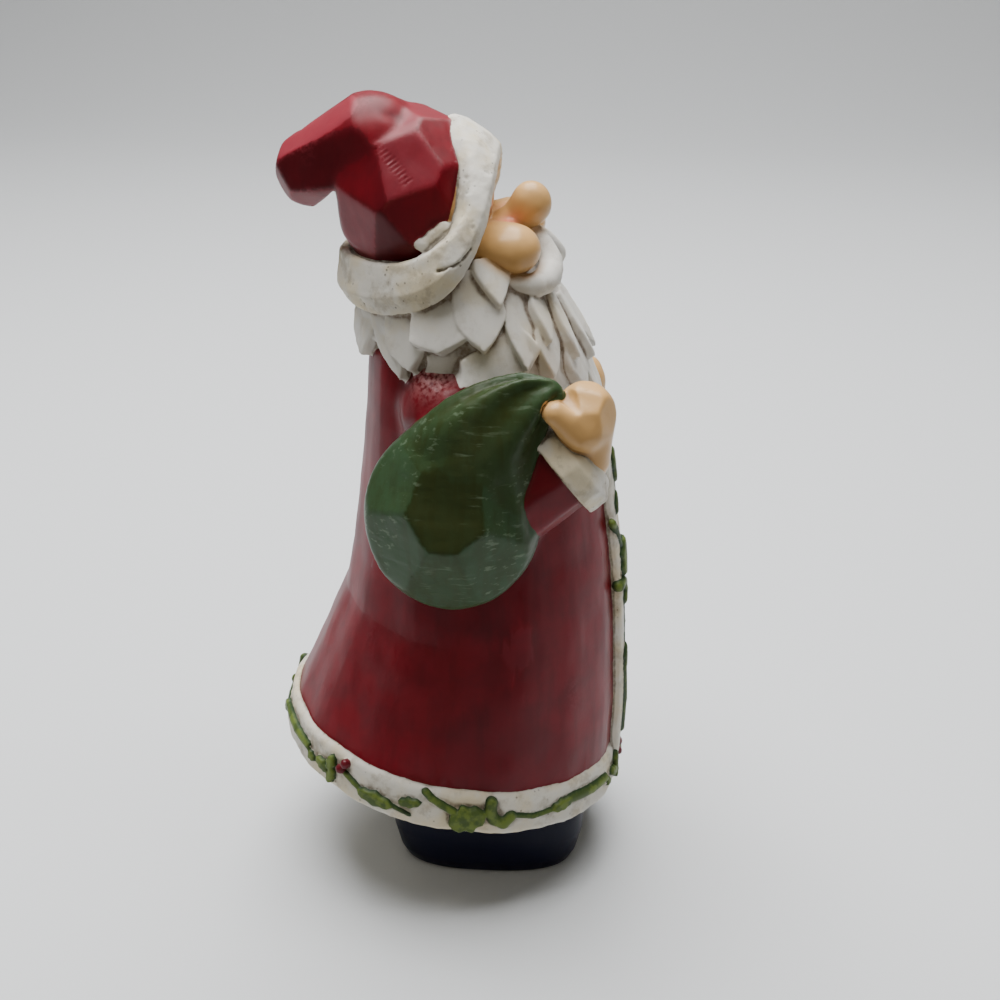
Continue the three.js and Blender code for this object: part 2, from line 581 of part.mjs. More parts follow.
function vineRepeat(place) {
  return [
    ...VINE_REPEAT.berries.map((at) => berry(at, place)),
    ...VINE_REPEAT.stems.map((each) => stem(each, place)),
    ...VINE_REPEAT.leaves.map((each) => leaf(each, place)),
  ];
}

// The vine repeats round the hem, and one repeat runs down the front band toward its right edge.
function vine() {
  const parts = [];
  const pitch = 360 / VINE.repeats;
  const perMillimetre = 180 / (Math.PI * ringAt(COAT_SIDE, HEM.low).w);
  for (let i = 0; i < VINE.repeats; i += 1) {
    parts.push(...vineRepeat((along, up, lift) => onCoat(
      pitch * i + (VINE.start + along) * perMillimetre, HEM.low + up, lift)));
  }
  parts.push(...vineRepeat((along, up, lift) => {
    const height = VINE.frontTop - along;
    const turn = (VINE.frontMiddle - up) / ringAt(COAT_SIDE, height).w;
    return onCoat(THREE.MathUtils.radToDeg(turn), height, FRONT_BAND.proud + lift);
  }));
  return parts;
}

function figure() {
  const whole = join([
    coat(), frontBand(), boot(-1), boot(1), bootWeb(), face(), beard(), hat(), brim(),
    arm(RIGHT_ARM), arm(LEFT_ARM), sack(), ...vine(),
  ]);
  const mesh = whole.getMesh();
  const geometry = new THREE.BufferGeometry();
  geometry.setAttribute("position", new THREE.BufferAttribute(mesh.vertProperties, 3));
  geometry.setIndex(new THREE.BufferAttribute(mesh.triVerts, 1));
  geometry.computeVertexNormals();
  return geometry;
}

const PAINTED_RESIN = new THREE.MeshStandardMaterial({ color: 0x7d1420, roughness: 0.35, metalness: 0 });

const santa = new THREE.Group();
const figurine = new THREE.Mesh(figure(), PAINTED_RESIN);
figurine.name = "santa_figurine";
santa.add(figurine);

export default santa;
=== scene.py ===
# Santa figurine: one solid resin casting in a knife-carved style, painted by hand.
# The forms are distance fields in millimetres, with nearly the same named sizes as the CAD part.
# They are joined on a grid, meshed, given finer relief, and painted by the distance to each form.
# A bearing goes round the figure: 0 is the front, 90 its left side, 180 its back.

import functools
import itertools
import math
from types import SimpleNamespace as Sizes

import bpy
import numpy as np
import openvdb
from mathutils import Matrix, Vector


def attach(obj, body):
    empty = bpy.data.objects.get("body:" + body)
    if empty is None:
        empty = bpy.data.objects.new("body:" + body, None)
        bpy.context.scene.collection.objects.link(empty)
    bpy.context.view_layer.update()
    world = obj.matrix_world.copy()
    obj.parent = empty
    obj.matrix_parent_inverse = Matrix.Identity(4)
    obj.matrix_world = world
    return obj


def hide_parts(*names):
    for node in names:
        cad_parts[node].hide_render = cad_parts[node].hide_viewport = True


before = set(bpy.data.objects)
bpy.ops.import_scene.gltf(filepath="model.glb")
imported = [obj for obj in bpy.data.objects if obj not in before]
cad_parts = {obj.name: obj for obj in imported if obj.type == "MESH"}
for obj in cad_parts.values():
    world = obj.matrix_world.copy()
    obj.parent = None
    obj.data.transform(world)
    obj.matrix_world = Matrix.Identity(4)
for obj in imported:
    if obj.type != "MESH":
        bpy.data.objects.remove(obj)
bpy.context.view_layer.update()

MM = 0.001
VOXEL = 0.32
MOST_FACES = 192000
GRID_LOW = (-37.0, -31.0, -1.2)
GRID_HIGH = (36.0, 43.0, 151.5)
FAR = 3.0

# Boots and the web between them
BOOT = Sizes(half_length=19.3, half_width=10.0, apart=9.3, middle_y=-0.9, squareness=2.6, top=24)
BOOT_PROFILE = [(0, 0.85), (2.4, 0.92), (7, 0.98), (13, 1), (24, 0.94)]
WEB = Sizes(half_width=4.0, front=-10, back=9, height=23)

# Coat rings: height, middle y, half width, half depth
COAT = [
    (21.2, 6.9, 31.6, 31.9), (28.9, 6.0, 31.3, 31.6), (38, 4.0, 29.6, 30.0), (55, 1.0, 26.9, 26.4),
    (65, 0.5, 25.8, 25.1), (85, 0.7, 24.1, 22.5), (94, 1.9, 22.4, 20.4), (101, 3.1, 19.6, 18.8),
    (106, 3.6, 17.5, 17.8), (110, 4.4, 13.0, 14.5),
]
COAT_FACETS, COAT_UNEVEN, COAT_ENDS = 24, 0.3, (21, 110)
# Painted shade down each side of the coat, standing in for the dim room reflected in the gloss there
COAT_SIDE_PAINTED_SHADE = Sizes(bearing=88, width=24, tone=-0.55)
HEM_RINGS = [(19.8, 6.9, 33.0, 33.6), (21.2, 6.9, 33.0, 33.6), (28.9, 6.35, 32.5, 32.7)]
HEM = Sizes(low=21.2, high=28.2, middle=24.4, half_height=4.4, tilt=0.17, level_at=85)
FRONT_BAND = Sizes(half_width=5.4, proud=1.4, low=26, high=99, back=4)

# Vine: places are millimetres along the band and up from its lower edge
VINE = Sizes(repeats=3, start=-73.5, before=8, front_top=92, front_middle=0.8)
STEM_SUNK = 0.25
BERRY = Sizes(radius=0.95, proud=0.1)
VINE_BERRIES = [(1.3, 4.6), (2.3, 6.2)]
# Each stem is a radius and the points it runs through
VINE_STEMS = [
    (0.6, [(2.6, 4.0), (4.6, 3.2), (6.4, 2.4)]), (0.45, [(12.6, 1.9), (16.2, 1.2)]),
    (0.75, [(19.0, 6.8), (20.3, 5.7), (22.0, 4.8), (24.4, 3.6)]),
    (1.1, [(31.5, 6.2), (31.3, 4.2), (32.0, 2.6), (33.8, 1.8), (35.3, 3.3)]),
    (0.5, [(36.2, 3.3), (40.0, 2.6), (44.2, 3.1)]),
    (1.0, [(48.6, 4.4), (55.1, 4.0), (61.0, 3.9)]),
]
# Each leaf is its place, turn, length, width and thickness
VINE_LEAVES = [
    ((-7.4, 2.5), -20, 3.0, 1.9, 0.8),
    ((-3.6, 2.8), -20, 4.0, 2.0, 0.9),
    ((-1.4, 4.4), 84, 3.4, 2.0, 0.9),
    ((-1.1, 1.7), 78, 3.6, 1.8, 0.8),
    ((9.4, 2.1), -4, 7.6, 2.8, 1.0),
    ((16.2, 3.8), 15, 4.6, 2.0, 0.9),
    ((27.0, 2.5), 24, 7.4, 4.8, 1.2),
    ((46.4, 3.8), 14, 5.0, 2.3, 1.0),
]

# Head and face
HEAD = Sizes(at=(0, 11, 124.5), radii=(12.4, 10.8, 11.0))
CHEEK = Sizes(at=(8.8, -5.2, 125.4), radii=(5.2, 5.0, 4.4))
TEMPLE = Sizes(at=(6.8, -1.4, 125.8), radii=(6.4, 5.2, 3.6))
NOSE = Sizes(at=(0, -8.0, 131.2), radii=(3.5, 3.6, 4.0), neck=2.4,
             root=(0, -1.6, 124.6), root_radius=4.0)
EYE = Sizes(at=(3.6, -4.2, 127.8), radius=1.3, taller=0.1)
BLUSH = Sizes(at=(4.4, -4.4, 129.3), radii=(2.6, 2.4, 1.6))
MOUSTACHE = [
    ((0.6, -8.2, 126.6), 1.2), ((1.6, -10.4, 124.2), 1.8), ((4.8, -11.8, 120.8), 2.3),
    ((9.6, -9.6, 119.4), 2.2), ((12.8, -3.6, 121.0), 0.8),
]

# Beard rings
BEARD = [
    (94, -9.0, 6.0, 10.5), (98, -3.5, 12.0, 15.6), (103, 0.9, 17.6, 18.9), (107, 2.7, 19.4, 20.0),
    (112, 3.8, 19.5, 19.1), (117, 4.6, 18.0, 16.8), (122, 5.0, 15.0, 13.4),
]
BEARD_SLOPE = Sizes(most=0.24, level_at=118)
BEARD_FACETS, BEARD_UNEVEN, BEARD_ENDS = 18, 0.2, (94, 122)
# Locks on both sides: root and tip as a bearing and a height, width, where along it is widest, and
# how far the tip curls toward the back
LOCKS = [
    ((168, 115), (160, 104.5), 12.0, 0.45, 0.5), ((147, 116), (120.5, 104.8), 8.5, 0.45, -2.6),
    ((124, 117.5), (113.5, 106.4), 9.5, 0.55, -1.0), ((99, 119.5), (95.5, 110.4), 11.5, 0.72, -1.6),
    ((75, 123), (76, 110.4), 9.0, 0.58, -0.6), ((60, 124.5), (63, 117.4), 7.0, 0.25, 0.0),
    ((46, 120.5), (59, 106.2), 7.5, 0.5, -1.4), ((28, 118), (44, 110.2), 5.5, 0.4, 0.8),
    ((33, 113), (49, 103.8), 7.0, 0.4, 0.8), ((73, 111.5), (69, 103.2), 14.5, 0.6, 0.0),
    ((97, 111), (92, 101.0), 9.0, 0.5, 0.0), ((14, 116), (28, 105.6), 5.5, 0.4, 0.6),
    ((1, 115), (9, 103.5), 5.5, 0.4, 0.4), ((18, 108), (31, 99.0), 7.0, 0.4, 0.8),
    ((4, 105), (12, 94.0), 7.0, 0.4, 0.4),
]
LOCK = Sizes(below=2.6, above=0.9, root_sunk=0.9, tip_lift=1.7, root_width=0.8,
             twist=7.0, twist_change=3.0, crown=0.4, bow=1.2, soft=0.22)

# Hat, with the flats that a knife takes off it, and the fur brim
DOME = Sizes(at=(0, 13.0, 133.6), radii=(16.6, 14.2, 15.2))
DOME_CUTS = [
    (-123, 22, 1.9), (-90, 34, 2.4), (-77, -3, 2.0), (-104, -22, 1.4), (-134, -14, 1.7), (-44, 48, 1.4),
    (-47, 13, 0.9), (-125, 64, 1.7), (-168, -6, 0.9), (64, 30, 2.2), (96, 4, 2.1), (133, 20, 1.9),
    (162, -8, 1.2), (104, 52, 1.8), (30, 58, 1.2), (0, 78, 1.3),
]
HAT_TIP = Sizes(start=(0, 20.2, 139.8), start_radius=10.4, end=(0, 30.4, 136.8), end_radius=6.9)
TIP_FLATS = [(-32, 0.5), (-88, 1.5), (-140, 0.9), (24, 0.7), (78, 1.4), (136, 1.0)]
TIP_END = [(180, 12, 0.5), (-150, -20, 0.8), (152, -12, 0.8), (0, -45, 2.1)]
HAT_SOFT = 0.45
# The forehead fills the brim's opening: how far back it goes at a height, and how far it stands out
FOREHEAD = Sizes(back=2.5, at=142.9, slope=0.24, proud=0.3)
# Painted shading of each of these flats, standing in for how each takes the light: from -1, painted shade
# in deep maroon, to 1, a rosy painted sheen
DOME_PAINTED_SHADING = [-0.3, 0.35, 0.1, -0.6, 0.4, -0.1, -0.2, 0.5, -0.2, 0.2, 0.0, -0.4, -0.3, 0.3, 0.2, 0.4]
TIP_PAINTED_SHADING = [0.8, -0.9, 0.2, 0.7, -0.7, 0.0]
HAT_GOUGES = Sizes(start=(-10.1, 17.4, 143.3), end=(-13.6, 12.0, 138.1), out=(-0.83, 0, 0.56),
                   pitch=0.82, half_length=1.1, width=0.2, depth=0.1)
HAT_DENT = Sizes(at=(-4.9, 16.7, 147.0), radii=(1.5, 3.0, 1.5), depth=0.4)
BRIM = Sizes(at=(0, 13.1, 130.4), middle_y=8.5, half_width=17.6, front_reach=11.4, front_rise=12.5,
             ear_forward=7.0, ear_drop=6.1, lean=18, height=8.0, taller=0.22,
             thick=6.2, thicker=0.15, ridge=-0.6, chamfer=0.45, tuck=0.22, round=0.5,
             front_trim=2.4, front_ridge=-1.2, front_bulge=0.09)
# Rough plaster that laps from the brim onto the hat, and the crack along the brim under it: bearings
# in degrees and how far up the brim's face
FLAKES = [((-13.9, 5.6, 129.9), (0.9, 1.9, 1.6)), ((-14.2, 7.3, 128.7), (1.0, 1.9, 1.5)),
          ((-14.4, 9.2, 127.4), (0.9, 1.9, 1.3))]
CRACK = Sizes(bearings=(-92, -77, -66), up=(0.8, -1.2, -2.1), width=0.28, depth=0.5)

# Arms: distance to the side, y and height of each joint
ARMS = {
    -1: {"shoulder": (18.0, 5.2, 98.4), "elbow": (21.5, -1.0, 80.0), "wrist": (23.0, -14.2, 90.2),
         "hand": (24.4, -18.7, 101.2)},
    1: {"shoulder": (18.0, 5.2, 97.4), "elbow": (24.0, 1.0, 76.5), "wrist": (22.2, -12.6, 81.6),
        "hand": (20.6, -16.6, 90.2)},
}
SLEEVE = Sizes(shoulder=8.4, elbow=9.3, wrist=7.8, sides=8, soft=0.4)
# The flats that a knife takes off a shoulder, for the left one: bearing, rise and bite
SHOULDER_CUTS = [(70, 28, 1.1), (118, 38, 1.2), (92, 66, 1.1), (150, 20, 0.8)]
WORN_SHOULDER = Sizes(at=(-19.5, 7.5, 106.3), radius=4.6)
CUFF = Sizes(radius=9.0, low=-0.3, ridge=3.4, top=6.0, top_radius=6.4, inward=0.36,
             sides=9, round=0.4)
HAND = Sizes(radii=(6.0, 5.1, 5.8), palm=5.2, heel=(-0.4, -0.6, -8.0), heel_radius=4.0)
# The flats of a hand, for the left one: bearing, rise and bite
HAND_CUTS = [(82, 2, 1.0), (80, 46, 0.9), (28, 8, 0.8), (40, 76, 0.5), (120, 30, 0.5)]
THUMB = Sizes(root=(3.4, 0.6, -1.6), root_radius=3.0, tip=(4.6, 4.9, 1.9), tip_radius=2.1)
CREASE = Sizes(start=(2.6, 3.6, 5.4), start_radius=2.0, end=(7.0, -0.4, 2.2), end_radius=0.6)

# Sack: a round bag and a gathered neck that narrows into the fist, both flattened outward
SACK = Sizes(at=(-25.6, 4.2, 82.0), radii=(11.2, 15.4, 17.6), flatten=0.6, soft=0.4)
SACK_NECK = [
    ((-26.0, 0.8, 80.0), 10.6), ((-26.4, 1.2, 86.0), 11.6), ((-27.0, 1.0, 91.0), 11.8),
    ((-27.4, -1.0, 95.8), 10.2), ((-27.6, -4.4, 100.2), 7.6), ((-27.0, -8.2, 103.6), 5.1),
    ((-25.8, -12.0, 105.0), 3.2),
]
# A fold that runs from the neck down the front of the sack, and the gathers that fan from the fist
SACK_FOLD = [
    ((-28.8, -6.8, 101.0), 0.8), ((-30.0, -5.8, 97.1), 1.3), ((-30.8, -6.2, 90.0), 1.4),
    ((-30.6, -7.6, 84.0), 1.2), ((-29.8, -8.6, 78.0), 0.5),
]
GATHERS = Sizes(start=(-26.8, 2.6, 91.0), end=(-25.8, -12.0, 105.0), count=8, height=0.55)
# Painted shading of the sack's flats, from -1, painted shade in olive, to 1, a light painted sheen; the big
# front flat comes first, painted dark as the reflection of the dim room
SACK_PAINTED_SHADING = [-0.8, 0.4, 0.0, 0.3, -0.1, 0.2, -0.2, 0.3]
SACK_FACE = Sizes(rise=15, bite=2.0, rim_cuts=7, rim_turn=20, rim_rise=40, rim_bite=1.9)


# Distance fields. Each takes the coordinates x, y, z as arrays that broadcast together.

def union(one, other, blend):
    """The lower of two fields, with a fillet as wide as the blend where they meet."""
    if blend <= 0:
        return np.minimum(one, other)
    near = np.maximum(blend - np.abs(one - other), 0)
    return np.minimum(one, other) - near * near / (4 * blend)


def common(one, other, blend):
    """The higher of two fields, with its edge rounded by the blend."""
    return -union(-one, -other, blend)


def joined(fields, blend=0, join=union):
    """One field from several, with a fillet where each meets those before it."""
    return functools.reduce(lambda one, other: join(one, other, blend), fields)


def direction(bearing, rise):
    level = math.cos(math.radians(rise))
    turn = math.radians(bearing)
    return (math.sin(turn) * level, -math.cos(turn) * level, math.sin(math.radians(rise)))


def mirrored(at, side):
    return (at[0] * side, at[1], at[2])


def along_axis(p, at, axis):
    return sum((p[i] - at[i]) * axis[i] for i in range(3))


def ellipsoid(p, at, radii):
    scaled = [(p[i] - at[i]) / radii[i] for i in range(3)]
    reach = np.sqrt(sum(value * value for value in scaled))
    steep = np.sqrt(sum((scaled[i] / radii[i]) ** 2 for i in range(3)))
    return reach * (reach - 1) / np.maximum(steep, 1e-5)


def flats(radii, cuts):
    """Direction and reach of flats on a rounded form, each a bearing, a rise and the knife's bite."""
    planes = []
    for bearing, rise, bite in cuts:
        out = direction(bearing, rise)
        planes.append((out, math.hypot(*(out[i] * radii[i] for i in range(3))) - bite))
    return planes


def carved(field, p, at, planes, soft):
    for out, reach in planes:
        field = common(field, along_axis(p, at, out) - reach, soft)
    return field


def painted_flat_shading(p, at, planes, tones):
    """The painted shading of the flat that each point lies on, and 0 away from all of them."""
    nearest, tone = -0.3, 0
    for (out, reach), value in zip(planes, tones):
        beyond = along_axis(p, at, out) - reach
        tone = np.where(beyond > nearest, value, tone)
        nearest = np.maximum(nearest, beyond)
    return tone


def unit(vector):
    length = math.sqrt(sum(value * value for value in vector))
    return tuple(value / length for value in vector)


def cross(a, b):
    return (a[1] * b[2] - a[2] * b[1], a[2] * b[0] - a[0] * b[2], a[0] * b[1] - a[1] * b[0])


def around(axis, count, shift=0):
    """Directions spread evenly round an axis."""
    across = unit(cross(axis, (0, 0, 1)))
    third = cross(across, axis)
    turns = [2 * math.pi * (i + shift) / count for i in range(count)]
    return [[across[j] * math.cos(turn) + third[j] * math.sin(turn) for j in range(3)] for turn in turns]


def reach_of(start, end):
    return [end[i] - start[i] for i in range(3)]


def round_bar(p, start, start_radius, end, end_radius):
    """A tapered bar with round ends."""
    span = reach_of(start, end)
    length = math.sqrt(sum(value * value for value in span))
    part = np.clip(along_axis(p, start, [value / length for value in span]) / length, 0, 1)
    offset = [p[i] - start[i] - part * span[i] for i in range(3)]
    radius = start_radius + (end_radius - start_radius) * part
    return np.sqrt(sum(value * value for value in offset)) - radius


def sided_bar(p, start, start_radius, end, end_radius, sides, soft):
    """A tapered bar with round ends and flats along it."""
    field = round_bar(p, start, start_radius, end, end_radius)
    axis = unit(reach_of(start, end))
    slope = (start_radius - end_radius) / math.dist(start, end)
    shrink = math.cos(math.pi / sides) + 0.025
    along = along_axis(p, start, axis)
    for out in around(axis, sides, 0.5):
        flat = along_axis(p, start, out) + slope * along - start_radius * shrink
        field = common(field, flat, soft)
    return field


def ring_at(rings, height):
    """Middle y, half width and half depth of a row of rings at a height."""
    table = np.array(rings, dtype=np.float32)
    return [np.interp(height, table[:, 0], table[:, i]).astype(np.float32) for i in (1, 2, 3)]


def untilt(p, rings, tilt_at):
    """The height on the ring stack of a point, where the rings are tilted more toward the bottom."""
    height = p[2] + 0 * p[1]
    for _ in range(4):
        height = p[2] - tilt_at(height) * (p[1] - ring_at(rings, height)[0])
    return height


def coat_tilt(height):
    part = (HEM.level_at - height) / (HEM.level_at - HEM.high)
    return HEM.tilt * np.clip(part, 0, 1)


def beard_tilt(height):
    part = (BEARD_SLOPE.level_at - height) / (BEARD_SLOPE.level_at - BEARD[0][0])
    return BEARD_SLOPE.most * np.clip(part, 0, 1)


def round_ring(p, rings, height):
    """Distance out from a ring stack, and the bearing in radians."""
    middle, wide, deep = ring_at(rings, height)
    east, south = p[0] / wide, (middle - p[1]) / deep
    reach = np.hypot(east, south)
    turn = np.arctan2(east, south)
    local = np.hypot(wide * np.sin(turn), deep * np.cos(turn))
    return (reach - 1) * local, turn


def faceted_ring(p, rings, height, facets, uneven, soft):
    """Distance out from a ring stack whose rings have flats between uneven corners."""
    middle, wide, deep = ring_at(rings, height)
    east, south = p[0] / wide, (middle - p[1]) / deep
    reach = np.hypot(east, south)
    turn = np.arctan2(east, south) % (2 * math.pi)
    count = np.arange(-1, facets + 2)
    step = 2 * math.pi / facets
    corners = step * (count + uneven * np.sin(2.4 * (count % facets)))
    edge = np.clip(np.searchsorted(corners, turn.ravel()).reshape(turn.shape), 2, facets + 1)
    local = np.hypot(wide * np.sin(turn), deep * np.cos(turn))

    def flat(index):
        middle_turn = (corners[index] + corners[index - 1]) / 2
        half = (corners[index] - corners[index - 1]) / 2
        return (reach * np.cos(turn - middle_turn) / np.cos(half) - 1) * local

    before, here, after = flat(edge - 1), flat(edge), flat(edge + 1)
    return common(here, np.maximum(before, after), soft)


def slab(one, other, rounding):
    """The region inside two fields at once, with its outer edge rounded."""
    a, b = one + rounding, other + rounding
    return np.hypot(np.maximum(a, 0), np.maximum(b, 0)) + np.minimum(np.maximum(a, b), 0) - rounding


def faceted_stack(p, rings, tilt_at, facets, uneven, soft, ends):
    height = untilt(p, rings, tilt_at)
    field = faceted_ring(p, rings, height, facets, uneven, soft)
    return common(common(field, ends[0] - height, 0.5), height - ends[1], 0.5)


def coat_field(p):
    return faceted_stack(p, COAT, coat_tilt, COAT_FACETS, COAT_UNEVEN, 0.7, COAT_ENDS)


def hem_field(p):
    height = untilt(p, HEM_RINGS, coat_tilt)
    field = faceted_ring(p, HEM_RINGS, height, COAT_FACETS, COAT_UNEVEN, 1.2)
    return slab(field, np.abs(height - HEM.middle) - HEM.half_height, 1.3)


def front_band_field(p):
    height = untilt(p, COAT, coat_tilt)
    lift, _ = round_ring(p, COAT, height)
    front = slab(lift - FRONT_BAND.proud, np.abs(p[0]) - FRONT_BAND.half_width, 0.8)
    length = np.maximum(FRONT_BAND.low - height, height - FRONT_BAND.high)
    return np.maximum(np.maximum(front, length), p[1] - FRONT_BAND.back)


def boot_field(p, side):
    size = np.interp(p[2], [row[0] for row in BOOT_PROFILE], [row[1] for row in BOOT_PROFILE])
    power = BOOT.squareness
    wide = np.abs(p[0] - side * BOOT.apart) / (BOOT.half_width * size)
    deep = np.abs(p[1] - BOOT.middle_y) / (BOOT.half_length * size)
    reach = (wide ** power + deep ** power) ** (1 / power)
    return slab((reach - 1) * BOOT.half_width, np.maximum(-p[2], p[2] - BOOT.top), 0.5)


def web_field(p):
    depth = np.maximum(WEB.front - p[1], p[1] - WEB.back)
    field = np.maximum(np.abs(p[0]) - WEB.half_width, depth)
    return np.maximum(field, np.maximum(-p[2], p[2] - WEB.height))


def skin_field(p):
    field = ellipsoid(p, HEAD.at, HEAD.radii)
    neck = round_bar(p, NOSE.root, NOSE.root_radius, NOSE.at, NOSE.neck)
    field = union(union(field, neck, 1.6), ellipsoid(p, NOSE.at, NOSE.radii), 1.5)
    for side in (-1, 1):
        field = union(field, ellipsoid(p, mirrored(TEMPLE.at, side), TEMPLE.radii), 2.5)
        field = union(field, ellipsoid(p, mirrored(CHEEK.at, side), CHEEK.radii), 2.0)
        eye = mirrored(EYE.at, side)
        top = eye[:2] + (eye[2] + EYE.taller,)
        field = union(field, round_bar(p, eye, EYE.radius, top, EYE.radius), 0.4)
    return field


def beard_field(p):
    return faceted_stack(p, BEARD, beard_tilt, BEARD_FACETS, BEARD_UNEVEN, 0.8, BEARD_ENDS)


def on_beard(bearing, height, lift):
    ring = [float(value) for value in ring_at(BEARD, height)]
    turn = math.radians(bearing)
    return (math.sin(turn) * (ring[1] + lift), ring[0] - math.cos(turn) * (ring[2] + lift), height)


def lock_axes(root, tip, side):
    """Start, length and the across, along and out directions of one lock."""
    start = on_beard(root[0] * side, root[1], -LOCK.root_sunk)
    end = on_beard(tip[0] * side, tip[1], LOCK.tip_lift)
    along = unit(reach_of(start, end))
    across = unit(cross(along, direction(side * (root[0] + tip[0]) / 2, 0)))
    out = unit(cross(across, along))
    return start, math.dist(start, end), across, along, out


def lock_field(p, root, tip, width, shoulder, curl, side, twist):
    """A curved flat blade: broad at its shoulder, pointed at its tip, a little crowned and twisted."""
    start, length, across, along, out = lock_axes(root, tip, side)
    a, b, c = (along_axis(p, start, axis) for axis in (across, along, out))
    part = np.clip(b / length, 0, 1)
    a = a + side * curl * (0.5 - part ** 2)
    swell = np.sin(np.minimum(part / shoulder, 1) * math.pi / 2)
    taper = 1 - np.clip((part - shoulder) / (1 - shoulder), 0, 1) ** 1.5
    half = width / 2 * (LOCK.root_width + (1 - LOCK.root_width) * swell) * taper
    outline = (np.abs(a) - half) / (1 + 0.5 * width / length)
    outline = common(outline, np.maximum(-b, b - length), LOCK.soft)
    crown = LOCK.crown * (1 - (2 * a / width) ** 2) - LOCK.bow * (part - 0.5) ** 2
    raised = LOCK.above + math.tan(math.radians(twist)) * a + crown
    return common(outline, np.maximum(c - raised, -c - LOCK.below), LOCK.soft)


def tip_planes():
    """The flats along the folded end of the hat, and those on its blunt end."""
    start, end, narrow = HAT_TIP.start, HAT_TIP.end, HAT_TIP.end_radius
    axis = unit(reach_of(start, end))
    slope = (HAT_TIP.start_radius - narrow) / math.dist(start, end)
    level = math.sqrt(1 - slope * slope)
    across = unit(cross(axis, (0, 0, 1)))
    top = cross(across, axis)
    planes = []
    for turn, bite in TIP_FLATS:
        turn = math.radians(turn)
        out = tuple((top[i] * math.cos(turn) - across[i] * math.sin(turn)) * level + axis[i] * slope
                    for i in range(3))
        planes.append((out, narrow - bite))
    return planes + flats((narrow,) * 3, TIP_END)


def hat_parts(p):
    """Fields of the dome and of the folded end."""
    dome = ellipsoid(p, DOME.at, DOME.radii)
    dome = carved(dome, p, DOME.at, flats(DOME.radii, DOME_CUTS), HAT_SOFT)
    end = HAT_TIP.end
    tip = round_bar(p, HAT_TIP.start, HAT_TIP.start_radius, end, HAT_TIP.end_radius)
    return dome, carved(tip, p, end, tip_planes(), HAT_SOFT)


def hat_field(p):
    return union(*hat_parts(p), 0.8)


def forehead_field(p):
    """The front of the dome inside the brim, where the face shows."""
    back = FOREHEAD.back + FOREHEAD.slope * (FOREHEAD.at - p[2])
    return common(hat_parts(p)[0] - FOREHEAD.proud, p[1] - back, 0.2)


def brim_place(turn):
    """A point of the brim's middle line, and the direction out from it, at a bearing in radians."""
    east, north = np.sin(turn), -np.cos(turn)
    ear = east * east
    at = (BRIM.at[0] + east * BRIM.half_width,
          BRIM.at[1] + north * BRIM.front_reach - BRIM.ear_forward * ear,
          BRIM.at[2] - north * BRIM.front_rise - BRIM.ear_drop * ear)
    return at, (east, north)


def brim_turn(p):
    """The bearing of the brim section that a point lies in."""
    lean = math.radians(BRIM.lean)
    spread = [p[0] + 0 * p[1] + 0 * p[2], p[1] + 0 * p[0] + 0 * p[2], p[2] + 0 * p[0] + 0 * p[1]]
    turn = np.arctan2(spread[0] / BRIM.half_width, -(spread[1] - BRIM.middle_y) / BRIM.front_reach)

    def beside(at_turn):
        at, (east, north) = brim_place(at_turn)
        side = (north * math.cos(lean), -east * math.cos(lean), east * math.sin(lean))
        return sum((spread[i] - at[i]) * side[i] for i in range(3))

    small = 0.02
    for _ in range(5):
        value = beside(turn)
        slope = (beside(turn + small) - value) / small
        slope = np.where(np.abs(slope) < 4, np.sign(slope) * 4 + (slope == 0) * 4, slope)
        turn = turn - np.clip(value / slope, -0.3, 0.3)
    return turn


def brim_section(p):
    """Where a point lies in the brim: its bearing in radians, and how far out and up it is."""
    turn = brim_turn(p)
    at, (east, north) = brim_place(turn)
    lean = math.radians(BRIM.lean)
    offset = [p[i] - at[i] for i in range(3)]
    up = offset[2] / math.cos(lean)
    out = offset[0] * east + (offset[1] - up * math.sin(lean)) * north
    return turn, out, up


def brim_field(p):
    """A band with a ridge round its outside: a sloping face above the ridge and a steep one below."""
    turn, out, up = brim_section(p)
    ahead = np.maximum(np.cos(turn), 0)
    half_thick = BRIM.thick / 2 * (1 + BRIM.thicker * np.cos(turn))
    half_height = BRIM.height / 2
    top = half_height * (1 + 2 * BRIM.taller * np.maximum(-np.cos(turn), 0))
    top = top - BRIM.front_trim * np.minimum(2 * ahead, 1) * np.abs(np.sin(turn))
    over = up - BRIM.ridge - BRIM.front_ridge * ahead ** 2
    bulge = BRIM.front_bulge * ahead ** 2 * np.maximum(over, 0)
    fall = np.maximum((BRIM.chamfer + bulge) * over, -BRIM.tuck * over)
    face = (out + fall - half_thick) / np.sqrt(1 + (BRIM.chamfer + 2 * bulge) ** 2)
    ends = np.maximum(up - top, -half_height - up)
    return slab(np.maximum(face, -out - half_thick), ends, BRIM.round)


def flake_field(p):
    return joined((ellipsoid(p, at, radii) for at, radii in FLAKES), 1.0)


def sleeve_field(p, side, part):
    """The upper arm, or the forearm as far as the middle of its cuff."""
    arm = ARMS[side]
    shoulder, elbow, wrist = (mirrored(arm[key], side) for key in ("shoulder", "elbow", "wrist"))
    sides, soft = SLEEVE.sides, SLEEVE.soft
    if part == "upper":
        bar = sided_bar(p, shoulder, SLEEVE.shoulder, elbow, SLEEVE.elbow, sides, soft)
        cuts = [(bearing * side, rise, bite) for bearing, rise, bite in SHOULDER_CUTS]
        return carved(bar, p, shoulder, flats((SLEEVE.shoulder,) * 3, cuts), soft)
    lower = sided_bar(p, elbow, SLEEVE.elbow, wrist, SLEEVE.wrist, sides, soft)
    inside_cuff = (CUFF.low + CUFF.ridge) / 2
    return common(lower, along_axis(p, wrist, cuff_axis(side)) - inside_cuff, 0.2)


def cuff_axis(side):
    """The forearm's direction, turned a little inward."""
    elbow, wrist = (mirrored(ARMS[side][key], side) for key in ("elbow", "wrist"))
    forward = unit(reach_of(elbow, wrist))
    return unit((forward[0] - side * CUFF.inward, forward[1], forward[2]))


